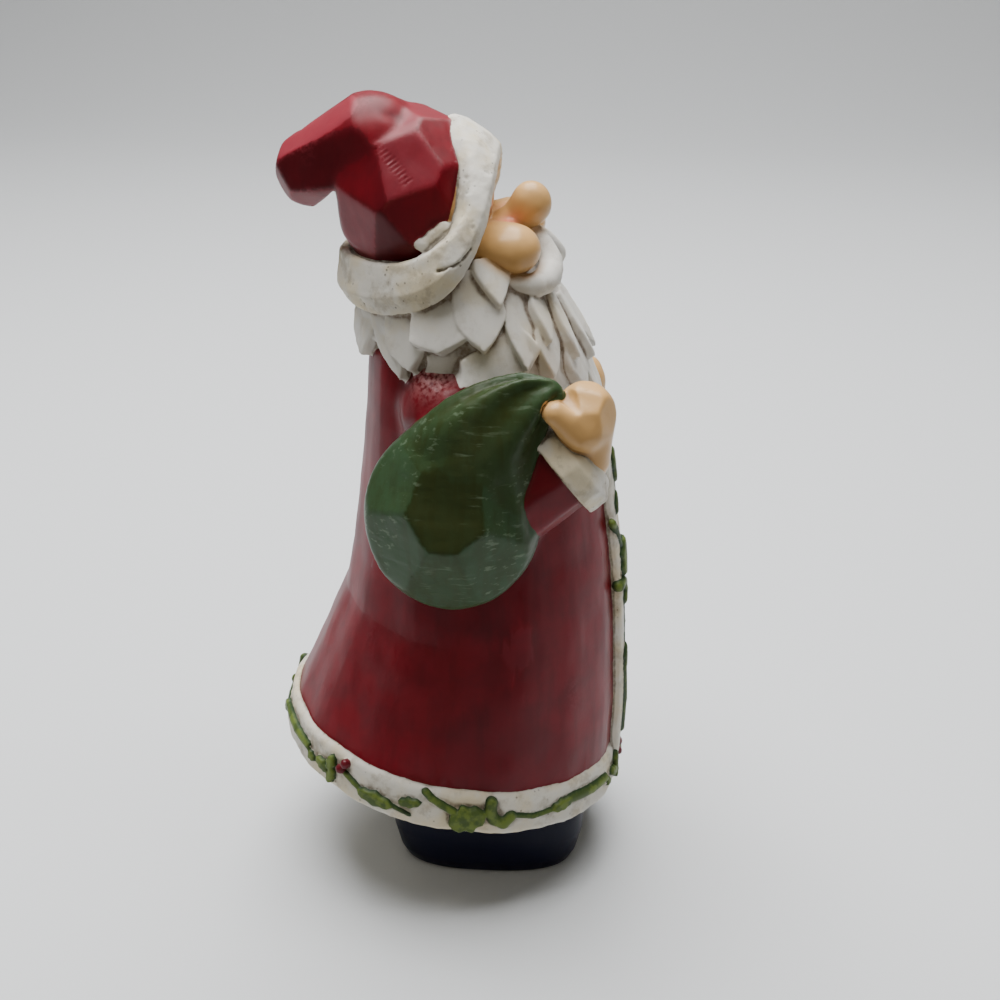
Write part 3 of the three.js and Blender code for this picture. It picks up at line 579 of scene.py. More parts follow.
def cuff_field(p, side):
    """A fur band with a ridge, a steep face below it and a face that slopes in to the hand above it."""
    wrist = mirrored(ARMS[side]["wrist"], side)
    axis = cuff_axis(side)
    along = along_axis(p, wrist, axis)
    ring = joined((along_axis(p, wrist, out) for out in around(axis, CUFF.sides)), 0.5, common)
    slope = (CUFF.radius - CUFF.top_radius) / (CUFF.top - CUFF.ridge)
    face = ring - CUFF.radius + slope * np.maximum(along - CUFF.ridge, 0)
    return slab(face, np.maximum(along - CUFF.top, CUFF.low - along), CUFF.round)


def hand_field(p, side):
    """A fist with carved flats, a thumb across it and the crease beside the thumb."""
    hand = mirrored(ARMS[side]["hand"], side)

    def bar(first, last, sizes):
        start, end = ([hand[i] + mirrored(offset, side)[i] for i in range(3)] for offset in (first, last))
        return round_bar(p, start, sizes[0], end, sizes[1])

    heel = bar((0, 0, 0), HAND.heel, (HAND.palm, HAND.heel_radius))
    field = union(ellipsoid(p, hand, HAND.radii), heel, 1.0)
    cuts = [(bearing * side, rise, bite) for bearing, rise, bite in HAND_CUTS]
    field = carved(field, p, hand, flats(HAND.radii, cuts), 0.3)
    crease = bar(CREASE.start, CREASE.end, (CREASE.start_radius, CREASE.end_radius))
    thumb = bar(THUMB.root, THUMB.tip, (THUMB.root_radius, THUMB.tip_radius))
    return common(union(field, thumb, 2.2), -crease, 0.25)


def sack_cuts():
    cuts = [(-90, SACK_FACE.rise, SACK_FACE.bite)]
    rise, tilt = math.radians(SACK_FACE.rim_rise), math.radians(SACK_FACE.rise)
    start = math.radians(SACK_FACE.rim_turn)
    for i in range(SACK_FACE.rim_cuts):
        turn = start + 2 * math.pi / SACK_FACE.rim_cuts * (i + 0.1 * math.sin(2.1 * i))
        west, up = math.cos(rise), math.sin(rise) * math.sin(turn)
        out = (up * math.sin(tilt) - west * math.cos(tilt), math.sin(rise) * math.cos(turn),
               up * math.cos(tilt) + west * math.sin(tilt))
        bearing = math.degrees(math.atan2(out[0], -out[1]))
        cuts.append((bearing, math.degrees(math.asin(out[2])), SACK_FACE.rim_bite))
    return cuts


def smooth_row(stations, steps=3):
    """More stations between the given ones, on a curve through them all."""
    rows = np.array([tuple(at) + (radius,) for at, radius in stations])
    rows = np.vstack([2 * rows[0] - rows[1], rows, 2 * rows[-1] - rows[-2]])
    made = [rows[1]]
    for before, start, end, after in zip(rows, rows[1:], rows[2:], rows[3:]):
        for i in range(1, steps + 1):
            t = i / steps
            bend = (end - before) * t + (2 * before - 5 * start + 4 * end - after) * t ** 2
            made.append(start + (bend + (3 * (start - end) + after - before) * t ** 3) / 2)
    return [(tuple(row[:3]), row[3]) for row in made]


def bars_field(p, stations):
    """A bar that follows a curve through a row of stations, each a point and a radius."""
    stations = smooth_row(stations)
    return joined(round_bar(p, *start, *end) for start, end in zip(stations, stations[1:]))


def sack_bag(p):
    at, radii = SACK.at, SACK.radii
    return carved(ellipsoid(p, at, radii), p, at, flats(radii, sack_cuts()), SACK.soft)


def sack_neck(p):
    at = SACK.at
    flat = (at[0] + (p[0] - at[0]) / SACK.flatten, p[1], p[2])
    return bars_field(flat, SACK_NECK) * 0.8


def sack_field(p):
    whole = union(sack_bag(p), sack_neck(p), 2.4)
    return union(whole, bars_field(p, SACK_FOLD), 1.2)


def stem_field(along, up, lift, radius, points):
    def bar(a, b, c, d):
        span = math.hypot(c - a, d - b)
        part = np.clip(((along - a) * (c - a) + (up - b) * (d - b)) / span ** 2, 0, 1)
        beside = np.hypot(along - a - part * (c - a), up - b - part * (d - b))
        return np.hypot(beside, lift + STEM_SUNK) - radius

    return joined((bar(*start, *end) for start, end in zip(points, points[1:])), 0.3)


def leaf_field(along, up, lift, at, turn, length, width, thick):
    turn = math.radians(turn)
    a = (along - at[0]) * math.cos(turn) + (up - at[1]) * math.sin(turn)
    b = (up - at[1]) * math.cos(turn) - (along - at[0]) * math.sin(turn)
    part = np.clip(2 * a / length, -1, 1)
    scallop = 1 + 0.16 * np.cos(3 * math.pi * part)
    half = width / 2 * (1 - part * part) ** 0.75 * scallop
    outline = np.maximum(np.abs(b) - half, np.abs(a) - length / 2) * 0.8
    rib = 0.28 * np.exp(-(b / 0.35) ** 2)
    top = lift - thick * (1 - 0.35 * np.abs(b) / (width / 2)) + rib
    return common(outline, top, 0.5)


def vine_parts(along, up, lift):
    """Fields of the green and of the berries of one repeat."""
    green = [stem_field(along, up, lift, *stem) for stem in VINE_STEMS]
    green += [leaf_field(along, up, lift, *leaf) for leaf in VINE_LEAVES]
    balls = [np.sqrt((along - a) ** 2 + (up - b) ** 2 + (lift - BERRY.proud) ** 2)
             - BERRY.radius for a, b in VINE_BERRIES]
    return joined(green), joined(balls)


def hem_vine(p, which):
    height = untilt(p, HEM_RINGS, coat_tilt)
    lift, turn = round_ring(p, HEM_RINGS, height)
    wide = HEM_RINGS[0][2]
    pitch = 2 * math.pi * wide / VINE.repeats
    along = (turn * wide - VINE.start + VINE.before) % pitch - VINE.before
    return vine_parts(along, height - HEM.low, lift)[which]


def front_vine(p, which):
    """One repeat of the vine that runs down the band, toward its right edge."""
    height = untilt(p, COAT, coat_tilt)
    lift, _ = round_ring(p, COAT, height)
    along, up = VINE.front_top - height, VINE.front_middle - p[0]
    field = vine_parts(along, up, lift - FRONT_BAND.proud)[which]
    return np.maximum(field, p[1])


# The list of forms: paint group, fillet with what is under it, box, and field

PAINTS = ("red", "fur", "nook", "hair", "skin", "green", "boots", "vine", "berry")


def box_round(at, radius):
    return tuple(value - radius for value in at), tuple(value + radius for value in at)


def boxes_joined(*boxes):
    lows, highs = zip(*boxes)
    return tuple(map(min, zip(*lows))), tuple(map(max, zip(*highs)))


def lock_forms():
    forms = []
    for index, (root, tip, width, shoulder, curl) in enumerate(LOCKS):
        for side in (-1, 1):
            start, length, _, along, _ = lock_axes(root, tip, side)
            end = tuple(start[i] + along[i] * length for i in range(3))
            box = boxes_joined(box_round(start, width * 0.55 + 2), box_round(end, width * 0.3 + 2))
            twist = -side * (LOCK.twist + LOCK.twist_change * math.sin(2.3 * index + 0.6))
            shape = (root, tip, width, shoulder, curl, side, twist)
            forms.append(("hair", 0.12, box, lambda p, shape=shape: lock_field(p, *shape)))
    return forms


def arm_forms(side):
    arm = {key: mirrored(at, side) for key, at in ARMS[side].items()}
    sleeve = boxes_joined(box_round(arm["shoulder"], 10.5), box_round(arm["elbow"], 11),
                          box_round(arm["wrist"], 9))
    return [
        ("red", 2.8, sleeve, lambda p: sleeve_field(p, side, "upper")),
        ("red", 1.0, sleeve, lambda p: sleeve_field(p, side, "lower")),
        ("fur", 0.4, box_round(arm["wrist"], 13), lambda p: cuff_field(p, side)),
        ("skin", 0.4, box_round(arm["hand"], 11), lambda p: hand_field(p, side)),
    ]


def forms():
    hem_box = ((-36, -29, 13), (36, 42, 36))
    front_box = ((-7, -31, 18), (7, 0, 101))
    head_box = ((-17, -14, 109), (17, 24, 140))
    made = [
        ("boots", 0, ((-21, -22, -1), (21, 20, 25)), lambda p: boot_field(p, -1)),
        ("boots", 0.5, ((-21, -22, -1), (21, 20, 25)), lambda p: boot_field(p, 1)),
        ("boots", 0, ((-5, -11, -1), (5, 10, 24)), web_field),
        ("red", 0.4, ((-34, -29, 12), (34, 41, 112)), coat_field),
        ("fur", 0.25, hem_box, hem_field),
        ("fur", 0.25, front_box, front_band_field),
        ("vine", 0.2, hem_box, lambda p: hem_vine(p, 0)),
        ("berry", 0.1, hem_box, lambda p: hem_vine(p, 1)),
        ("vine", 0.2, front_box, lambda p: front_vine(p, 0)),
        ("berry", 0.1, front_box, lambda p: front_vine(p, 1)),
        ("skin", 0.4, head_box, skin_field),
        ("nook", 0.5, ((-22, -23, 86), (22, 26, 128)), beard_field),
    ]
    made += lock_forms()
    for side in (-1, 1):
        moustache = boxes_joined(*(box_round(mirrored(at, side), r + 1) for at, r in MOUSTACHE))
        stations = [(mirrored(at, side), radius) for at, radius in MOUSTACHE]
        made.append(("hair", 0.4, moustache, lambda p, row=stations: bars_field(p, row)))
    made += [
        ("red", 0.5, ((-18, -2, 117), (18, 39, 151)), hat_field),
        ("skin", 0.3, ((-17, -3, 118), (17, 9, 144)), forehead_field),
        ("fur", 0.3, ((-23, -4, 111), (23, 31, 149)), brim_field),
        ("fur", 0.4, ((-17, 1, 123), (-10, 14, 135)), flake_field),
    ]
    made += arm_forms(-1) + arm_forms(1)
    made.append(("green", 0.6, ((-37, -20, 64), (-12, 23, 112)), sack_field))
    return made


def fill_grid(made):
    """The joined field of all forms on a grid."""
    sides = [np.arange(GRID_LOW[i], GRID_HIGH[i], VOXEL, dtype=np.float32) for i in range(3)]
    grid = np.full([len(side) for side in sides], FAR, dtype=np.float32)
    for _, blend, (low, high), field in made:
        spans = [slice(*np.searchsorted(sides[i], (low[i] - 1.5, high[i] + 1.5))) for i in range(3)]
        x, y, z = (sides[i][spans[i]] for i in range(3))
        p = (x[:, None, None], y[None, :, None], z[None, None, :])
        here = np.minimum(field(p), FAR).astype(np.float32)
        region = grid[spans[0], spans[1], spans[2]]
        grid[spans[0], spans[1], spans[2]] = union(region, here, blend)
    return np.clip(grid, -FAR, FAR)


def field_mesh(grid):
    """Vertices in millimetres and quads of the zero surface of the grid."""
    volume = openvdb.FloatGrid(FAR)
    volume.copyFromArray(grid)
    points, _, quads = volume.convertToPolygons(isovalue=0.0, adaptivity=0.0)
    return points.astype(np.float64) * VOXEL + np.array(GRID_LOW), quads


def corners_of(part):
    """The eight corners of a cell, and how much each counts for the points in it."""
    for i, j, k in itertools.product((0, 1), repeat=3):
        weight = np.abs(1 - i - part[:, 0]) * np.abs(1 - j - part[:, 1]) * np.abs(1 - k - part[:, 2])
        yield np.array([i, j, k]), weight


def sample(grid, points):
    """Trilinear value of a grid at points."""
    place = (points - np.array(GRID_LOW)) / VOXEL
    base = np.floor(place).astype(int)
    base = np.clip(base, 0, np.array(grid.shape) - 2)
    part = place - base
    value = 0
    for corner, weight in corners_of(part):
        value = value + weight * grid[tuple((base + corner).T)]
    return value


def normals_of(grid, points):
    step = 0.6 * VOXEL
    slope = np.stack([sample(grid, points + step * axis) - sample(grid, points - step * axis)
                      for axis in np.eye(3)], axis=1)
    return slope / np.maximum(np.linalg.norm(slope, axis=1, keepdims=True), 1e-9)


def blurred(grid, reach):
    """A box blur of how full the grid is: 0.5 on a flat, more in a hollow, less on an edge."""
    full = np.clip(0.5 - grid / VOXEL, 0, 1).astype(np.float32)
    count = max(1, round(reach / VOXEL))
    for axis in range(3):
        padded = np.concatenate([np.zeros_like(full.take([0], axis)), full], axis).cumsum(axis)
        size = full.shape[axis]
        high = np.minimum(np.arange(size) + count + 1, size)
        low = np.maximum(np.arange(size) - count, 0)
        full = (padded.take(high, axis) - padded.take(low, axis)) / (2 * count + 1)
    return full


def paint_distances(made, points):
    """Distance from each point to the nearest form of each paint."""
    paints = {name: np.full(len(points), FAR) for name in PAINTS}
    for name, _, (low, high), field in made:
        near = np.all((points > np.array(low) - 1.5) & (points < np.array(high) + 1.5), axis=1)
        if near.any():
            some = points[near].T.astype(np.float32)
            paints[name][near] = np.minimum(paints[name][near], field(tuple(some)))
    return paints


# Finer relief, as a shift along the surface normal

def scramble(cells, seed):
    """Three numbers from 0 to 1 for each whole-numbered cell, always the same."""
    mixed = (cells[..., 0] * 73856093) ^ (cells[..., 1] * 19349663) ^ (cells[..., 2] * 83492791)
    mixed = (mixed + seed * 2654435) & 0xFFFFFFF
    parts = []
    for turn in (1, 2, 3):
        mixed = (mixed * 1103515245 + 12345 + turn) & 0x7FFFFFFF
        parts.append(((mixed >> 7) & 0xFFFF) / 65535.0)
    return np.stack(parts, axis=-1)


def scoops(points, size, seed):
    """Squared distance to the nearest scattered point: shallow hollows with ridges between."""
    place = points / size
    base = np.floor(place).astype(np.int64)
    nearest = np.full(len(points), 9.0)
    for step in itertools.product((-1, 0, 1), repeat=3):
        cells = base + np.array(step)
        gap = cells + scramble(cells, seed) - place
        nearest = np.minimum(nearest, np.sum(gap * gap, axis=1))
    return nearest


def waves(points, size, seed):
    """Smooth noise from -1 to 1."""
    place = points / size
    base = np.floor(place).astype(np.int64)
    part = place - base
    part = part * part * (3 - 2 * part)
    value = 0
    for corner, weight in corners_of(part):
        value = value + weight * scramble(base + corner, seed)[:, 0]
    return 2 * value - 1


def only(paints, name, width=0.5):
    """1 where a paint is the nearest by more than the width, falling to 0 at its border."""
    others = np.min([paints[other] for other in PAINTS if other != name], axis=0)
    return np.clip((others - paints[name]) / width, 0, 1)


def gouges(points):
    """Depth of a row of short parallel chisel marks on the side of the hat."""
    start, out = np.array(HAT_GOUGES.start), np.array(HAT_GOUGES.out)
    span = np.array(HAT_GOUGES.end) - start
    length, pitch = np.linalg.norm(span), HAT_GOUGES.pitch
    along = span / length
    gap = points - start
    a, b, c = gap @ along, gap @ np.cross(out, along), gap @ out
    beside = (a + pitch / 2) % pitch - pitch / 2
    stroke = np.exp(-(beside / HAT_GOUGES.width) ** 2 - (b / HAT_GOUGES.half_length) ** 4)
    return HAT_GOUGES.depth * stroke * ((a > 0) & (a < length) & (np.abs(c) < 2.5))


def near(points, at, radii):
    """1 at a place, falling smoothly to 0 about a radius away."""
    gap = (points - np.array(at)) / np.array(radii)
    return np.exp(-1.5 * np.sum(gap * gap, axis=1))


def brim_marks(points):
    """Depth of the crack in the brim, and of the brush strokes that follow the brim round."""
    turn, out, up = brim_section(tuple(points.T))
    bearing = np.degrees(turn)
    line = np.interp(bearing, CRACK.bearings, CRACK.up)
    inside = (bearing > CRACK.bearings[0]) & (bearing < CRACK.bearings[-1])
    broken = np.clip(2 * waves(points, 0.9, 21) + 0.9, 0, 1)
    crack = CRACK.depth * inside * broken * np.exp(-((up - line) / CRACK.width) ** 2)
    unrolled = np.stack([turn * BRIM.half_width * 0.35, up, out], axis=1)
    pits = np.clip(waves(points, 0.7, 23) - 0.45, 0, 1) * np.clip(waves(points, 6.0, 24) + 0.3, 0, 1)
    return crack + 0.10 * np.clip(waves(unrolled, 1.0, 22), 0, 1) + 0.7 * pits


def gathers(points):
    """Folds of the sack's neck that fan out from the fist."""
    start = np.array(GATHERS.start)
    span = np.array(GATHERS.end) - start
    gap = points - start
    part = gap @ span / (span @ span)
    across = gap - part[:, None] * span
    turn = np.arctan2(across[:, 0] / SACK.flatten, across[:, 2])
    height = GATHERS.height * np.clip(part * 1.4 - 0.1, 0, 1) * np.clip((1.15 - part) * 6, 0, 1)
    return height * np.cos(GATHERS.count * turn + 0.8 * np.sin(4 * part))


def marks(points, paints):
    """Depth of the knife, chisel and brush marks in millimetres."""
    depth = gouges(points) * only(paints, "red")
    brim = (paints["fur"] < 0.8) & (points[:, 2] > 109)
    depth[brim] += brim_marks(points[brim]) * only(paints, "fur")[brim]
    rough = sum(near(points, at, radii) for at, radii in FLAKES)
    torn = scoops(points * [1, 0.6, 1], 1.1, 31) + 0.8 * waves(points, 0.6, 33)
    depth += 0.4 * np.clip(rough, 0, 1) * torn * only(paints, "fur")
    shoulder = near(points, WORN_SHOULDER.at, (WORN_SHOULDER.radius,) * 3)
    depth += 0.9 * shoulder * (scoops(points, 1.3, 32) - 0.1) * only(paints, "red")
    return depth


def relief(points, paints):
    """Shift along the normal: broad scoops and ripples, and the marks cut into them."""
    stretched = points * [1, 1, 0.35]
    shift = only(paints, "fur") * (0.26 * scoops(points, 3.4, 3) - 0.10)
    shift += only(paints, "fur") * 0.06 * waves(points, 0.9, 5)
    shift += only(paints, "hair") * 0.10 * waves(stretched, 1.1, 9)
    shift += only(paints, "nook") * 0.30 * waves(points, 1.6, 10)
    hat = 0.05 * (points[:, 2] > 115)
    shift += only(paints, "red") * ((0.12 + hat) * waves(points, 5.0, 11)
                                    + 0.04 * waves(stretched, 1.6, 12))
    level = points * [1, 0.3, 1]
    shift += only(paints, "green") * (0.10 * waves(points, 4.0, 13) + 0.05 * waves(level, 0.7, 14)
                                      + gathers(points))
    shift += only(paints, "skin") * 0.06 * waves(points, 1.6, 15)
    shift -= HAT_DENT.depth * near(points, HAT_DENT.at, HAT_DENT.radii)
    return shift - marks(points, paints)


def painted_shading_at(points):
    """Painted light and shade, from -1 to 1, on the flats of the hat and of the sack, and painted shade
    down each side of the coat.
    """
    p = tuple(points.T)
    dome, tip = hat_parts(p)
    on_dome = painted_flat_shading(p, DOME.at, flats(DOME.radii, DOME_CUTS), DOME_PAINTED_SHADING)
    on_tip = painted_flat_shading(p, HAT_TIP.end, tip_planes(), TIP_PAINTED_SHADING)
    bag = painted_flat_shading(p, SACK.at, flats(SACK.radii, sack_cuts()), SACK_PAINTED_SHADING)
    tone = np.where(tip < dome, on_tip, on_dome) * (points[:, 2] > 115)
    bag = bag * ((points[:, 2] < 110) & (sack_bag(p) < sack_neck(p) + 0.3) & (points[:, 0] < -24))
    # Painted shade down each side of the coat, where the dim room is reflected
    side = np.abs(np.degrees(np.arctan2(points[:, 0], -points[:, 1]))) - COAT_SIDE_PAINTED_SHADE.bearing
    coat = COAT_SIDE_PAINTED_SHADE.tone * np.exp(-(side / COAT_SIDE_PAINTED_SHADE.width) ** 2) * (points[:, 2] < 110)
    return tone + np.where(bag == 0, coat, bag)


# Mesh

def mesh_of(name, points, faces):
    mesh = bpy.data.meshes.new(name)
    mesh.vertices.add(len(points))
    mesh.vertices.foreach_set("co", (points * MM).astype(np.float32).ravel())
    corners = faces.shape[1]
    mesh.loops.add(faces.size)
    mesh.loops.foreach_set("vertex_index", faces.astype(np.int32).ravel())
    mesh.polygons.add(len(faces))
    mesh.polygons.foreach_set("loop_start", np.arange(0, faces.size, corners, dtype=np.int32))
    mesh.polygons.foreach_set("loop_total", np.full(len(faces), corners, dtype=np.int32))
    mesh.update(calc_edges=True)
    return mesh


def placed(name, data):
    obj = bpy.data.objects.new(name, data)
    bpy.context.scene.collection.objects.link(obj)
    return obj


def thinned(name, points, faces):
    """An object of the mesh, with triangles merged where it is flat."""
    obj = placed(name, mesh_of(name, points, faces))
    thin = obj.modifiers.new("thin", "DECIMATE")
    thin.ratio = min(1.0, MOST_FACES / (2 * len(faces)))
    thin.use_collapse_triangulate = True
    depsgraph = bpy.context.evaluated_depsgraph_get()
    mesh = bpy.data.meshes.new_from_object(obj.evaluated_get(depsgraph))
    rough = obj.data
    obj.modifiers.clear()
    obj.data = mesh
    bpy.data.meshes.remove(rough)
    mesh.name = name
    return obj


def vertices_of(mesh):
    flat = np.empty(3 * len(mesh.vertices), dtype=np.float32)
    mesh.vertices.foreach_get("co", flat)
    return flat.reshape(-1, 3).astype(np.float64) / MM


def store(mesh, name, values):
    layer = mesh.attributes.new(name, "FLOAT", "POINT")
    layer.data.foreach_set("value", np.asarray(values, dtype=np.float32))


def figurine():
    made = forms()
    grid = fill_grid(made)
    points, quads = field_mesh(grid)
    paints = paint_distances(made, points)
    shifted = points + normals_of(grid, points) * relief(points, paints)[:, None]
    obj = thinned("santa_casting", shifted, quads[:, ::-1])
    mesh = obj.data
    final = vertices_of(mesh)
    paints = paint_distances(made, final)
    for name in PAINTS:
        store(mesh, "to_" + name, paints[name])
    # Painted shading: light and shade painted on the flats of the hat and the sack, and down the coat's
    # sides
    store(mesh, "tone", painted_shading_at(final))
    store(mesh, "mark", marks(final, paints))
    store(mesh, "blush", sum(near(final, mirrored(BLUSH.at, side), BLUSH.radii) for side in (-1, 1)))
    store(mesh, "worn_shoulder", near(final, WORN_SHOULDER.at, (WORN_SHOULDER.radius,) * 3))
    store(mesh, "fine_hollow", sample(blurred(grid, 0.9), final))
    store(mesh, "wide_hollow", sample(blurred(grid, 2.6), final))
    mesh.shade_smooth()
    return obj


# Paint

def linear(red, green, blue):
    """A colour from its screen values out of 255."""
    return tuple(((v / 255 + 0.055) / 1.055) ** 2.4 for v in (red, green, blue)) + (1,)


class Nodes:
    """Builds a material's node tree from short calls."""

    def __init__(self, name):
        self.material = bpy.data.materials.new(name)
        self.material.use_nodes = True
        self.tree = self.material.node_tree
        self.shader = self.tree.nodes["Principled BSDF"]

    def plug(self, socket, value):
        if isinstance(value, bpy.types.NodeSocket):
            self.tree.links.new(value, socket)
        else:
            socket.default_value = value

    def node(self, kind, sockets, **settings):
        node = self.tree.nodes.new("ShaderNode" + kind)
        for key, value in settings.items():
            setattr(node, key, value)
        for key, value in sockets.items():
            self.plug(node.inputs[key], value)
        return node.outputs

    def finished(self, sockets):
        for key, value in sockets.items():
            self.plug(self.shader.inputs[key], value)
        return self.material

    def math(self, operation, a, b, clamp=False):
        return self.node("Math", {0: a, 1: b}, operation=operation, use_clamp=clamp)[0]

    def times(self, a, b, clamp=False):
        return self.math("MULTIPLY", a, b, clamp)

    def spread(self, value, low, high, to_low=0.0, to_high=1.0):
        sockets = dict(enumerate((value, low, high, to_low, to_high)))
        return self.node("MapRange", sockets, interpolation_type="SMOOTHSTEP")[0]

    def over(self, colour, *layers):
        """A colour with others laid over it, each by its share."""
        for share, top in layers:
            colour = self.node("Mix", {0: share, 6: colour, 7: top}, data_type="RGBA")[2]
        return colour

    def blend(self, part, a, b):
        return self.node("Mix", {0: part, 2: a, 3: b})[0]

    def stored(self, name):
        return self.node("Attribute", {}, attribute_name=name)["Fac"]

    def place(self, scale=(1, 1, 1), turn=(0, 0, 0)):
        """The object's own coordinates in millimetres, stretched and turned."""
        source = self.node("TexCoord", {})["Object"]
        return self.node("Mapping", {"Vector": source, "Rotation": [math.radians(value) for value in turn],
                                     "Scale": [value / MM for value in scale]})[0]

    def noise(self, place, scale, detail=3, rough=0.55):
        sockets = {"Vector": place, "Scale": scale, "Detail": detail, "Roughness": rough}
        return self.node("TexNoise", sockets)["Fac"]

    def spots(self, place, scale):
        return self.node("TexVoronoi", {"Vector": place, "Scale": scale})["Distance"]


RED_DEEP, RED, RED_ROSY, RED_WORN = (linear(64, 6, 15), linear(116, 8, 24), linear(148, 54, 66),
                                     linear(190, 132, 132))
FUR, FUR_CREAM, FUR_DARK = linear(214, 210, 200), linear(214, 202, 174), linear(90, 78, 62)
HAIR, HAIR_DARK = linear(216, 213, 206), linear(104, 82, 64)
SKIN, SKIN_DARK, ROSE = linear(204, 160, 102), linear(120, 74, 36), linear(206, 92, 84)
GREEN_OLIVE, GREEN, GREEN_LIGHT, GREEN_WORN = (linear(48, 54, 17), linear(54, 78, 50),
                                               linear(64, 88, 60), linear(124, 142, 116))
BOOTS = linear(6, 9, 32)
VINE_GREEN, VINE_DARK = linear(98, 114, 50), linear(36, 56, 34)
BERRY_RED = linear(96, 14, 28)
SPECK, GRIME = linear(74, 64, 54), linear(150, 136, 112)


def layered(n):
    """Colour, roughness, coat and bump of each paint."""
    even = n.place()
    streaks = n.noise(n.place((1.0, 1.0, 0.12)), 0.5, 4)
    cloud = n.noise(even, 0.12, 4)
    grain = n.noise(even, 1.3, 4)
    fine, wide, mark, tone = (n.stored(name) for name in ("fine_hollow", "wide_hollow", "mark", "tone"))
    # Hollows, recesses and cut marks are darkened: partly the brown antique wash the figurine has, partly
    # painted shade of the recesses and under the raised lock tips
    hollow = n.math("ADD", n.spread(fine, 0.54, 0.68), n.spread(wide, 0.55, 0.74), clamp=True)
    hollow = n.math("ADD", hollow, n.spread(mark, 0.1, 0.45), clamp=True)
    worn = n.times(n.spread(fine, 0.46, 0.36), n.spread(grain, 0.42, 0.62))
    patchy = n.spread(n.noise(even, 0.3, 2), 0.5, 0.62)
    specks = n.times(n.spread(n.spots(even, 0.8), 0.22, 0.12), patchy)
    wash_and_shade = n.times(hollow, n.spread(grain, 0.2, 0.7, 0.6, 1.0))
    chalk = n.times(n.stored("worn_shoulder"), n.spread(grain, 0.32, 0.6))
    grime = n.spread(n.noise(even, 0.22, 5, 0.65), 0.5, 0.68, 0.0, 0.5)
    stain = n.times(n.spread(n.stored("to_vine"), 0.4, 0.0), n.spread(grain, 0.4, 0.7, 0.0, 0.7))
    # Skin colour laid on the hair near the skin: the skin paint's edge, spread wide as painted shade where
    # the moustache meets the cheek
    skin_bleed_and_shade = n.spread(n.stored("to_skin"), 2.4, 0.2, 0.0, 0.6)
    scratches = n.spread(n.noise(n.place((1, 0.15, 1)), 1.2, 3), 0.56, 0.68, 0.0, 0.38)
    lifted = n.math("ADD", n.stored("to_fur"), n.times(grain, 0.6))
    brushed = n.spread(n.noise(n.place(turn=(0, 0, 30)), 0.45, 3), 0.42, 0.62, 0.0, 0.6)

    # Red: the stored painted shading darkens it to deep maroon as painted shade and lightens it to a rosy
    # painted sheen
    red = n.over(RED, (n.spread(cloud, 0.35, 0.65, 0.0, 0.4), RED_DEEP),
                 (n.spread(streaks, 0.45, 0.7, 0.0, 0.25), RED_DEEP),
                 (n.times(tone, -0.85, clamp=True), RED_DEEP), (n.times(tone, 0.8, clamp=True), RED_ROSY),
                 (n.times(wash_and_shade, 0.5), RED_DEEP), (n.times(worn, 0.5), RED_ROSY), (chalk, RED_WORN))
    # Fur, hair and skin are darkened in their hollows by the brown wash and painted shade
    fur = n.over(FUR, (n.spread(cloud, 0.4, 0.65), FUR_CREAM), (grime, GRIME),
                 (n.times(wash_and_shade, 0.85), FUR_DARK), (n.times(specks, 0.6), SPECK), (stain, VINE_DARK))
    hair = n.over(HAIR, (n.spread(cloud, 0.45, 0.7, 0.0, 0.5), FUR_CREAM), (n.times(wash_and_shade, 0.85), HAIR_DARK),
                  (n.times(grime, 0.5), GRIME), (skin_bleed_and_shade, SKIN))
    # The beard's base beneath the locks: the hair colour a little darker all over as painted shade, and
    # darker in its hollows by the wash and painted shade
    nook = n.over(HAIR, (n.math("ADD", n.times(wash_and_shade, 0.4), 0.05), HAIR_DARK))
    skin = n.over(SKIN, (n.times(wash_and_shade, 0.55), SKIN_DARK), (n.times(n.stored("blush"), 0.75), ROSE))
    # Green: the stored painted shading darkens it to olive as painted shade and lightens it as a painted
    # sheen
    green = n.over(GREEN, (n.spread(streaks, 0.4, 0.65, 0.0, 0.5), GREEN_OLIVE),
                   (n.times(tone, -0.9, clamp=True), GREEN_OLIVE),
                   (n.times(tone, 0.8, clamp=True), GREEN_LIGHT), (n.times(wash_and_shade, 0.6), GREEN_OLIVE),
                   (n.times(scratches, n.spread(cloud, 0.45, 0.6)), GREEN_WORN))
    vine = n.over(VINE_DARK, (n.spread(lifted, 0.4, 1.3), VINE_GREEN), (brushed, VINE_DARK))
    return {"red": (red, 0.42, 0.12, 0.25), "fur": (fur, 0.60, 0.0, 1.0), "nook": (nook, 0.7, 0.0, 1.0),
            "hair": (hair, 0.55, 0.05, 0.8), "skin": (skin, 0.36, 0.35, 0.3),
            "green": (green, 0.42, 0.12, 0.5), "boots": (BOOTS, 0.4, 0.1, 0.1),
            "vine": (vine, 0.5, 0.1, 0.5), "berry": (BERRY_RED, 0.4, 0.3, 0.2)}, grain


def painted_resin():
    """Each paint shows where its form is the nearest one."""
    n = Nodes("painted_resin")
    layers, grain = layered(n)
    wobble = n.times(n.math("SUBTRACT", n.noise(n.place(), 0.5, 2), 0.5), 0.5)
    shown = layers["red"]
    nearest = n.stored("to_red")
    for name in PAINTS[1:]:
        distance = n.math("ADD", n.stored("to_" + name), wobble)
        here = n.spread(n.math("SUBTRACT", nearest, distance), -0.08, 0.08)
        layer = layers[name]
        shown = (n.over(shown[0], (here, layer[0])),) + tuple(
            n.blend(here, before, after) for before, after in zip(shown[1:], layer[1:]))
        nearest = n.math("MINIMUM", nearest, n.stored("to_" + name))
    colour, rough, coat, bumpy = shown
    bump = n.node("Bump", {"Strength": 0.5, "Distance": 0.12 * MM, "Height": n.times(grain, bumpy)})[0]
    return n.finished({"Base Color": colour, "Roughness": rough, "Coat Weight": coat, "Normal": bump,
                       "Coat Roughness": 0.28, "Specular IOR Level": 0.15})


def plain(name, colour, rough):
    return Nodes(name).finished({"Base Color": colour, "Roughness": rough})


# Stage, light and camera

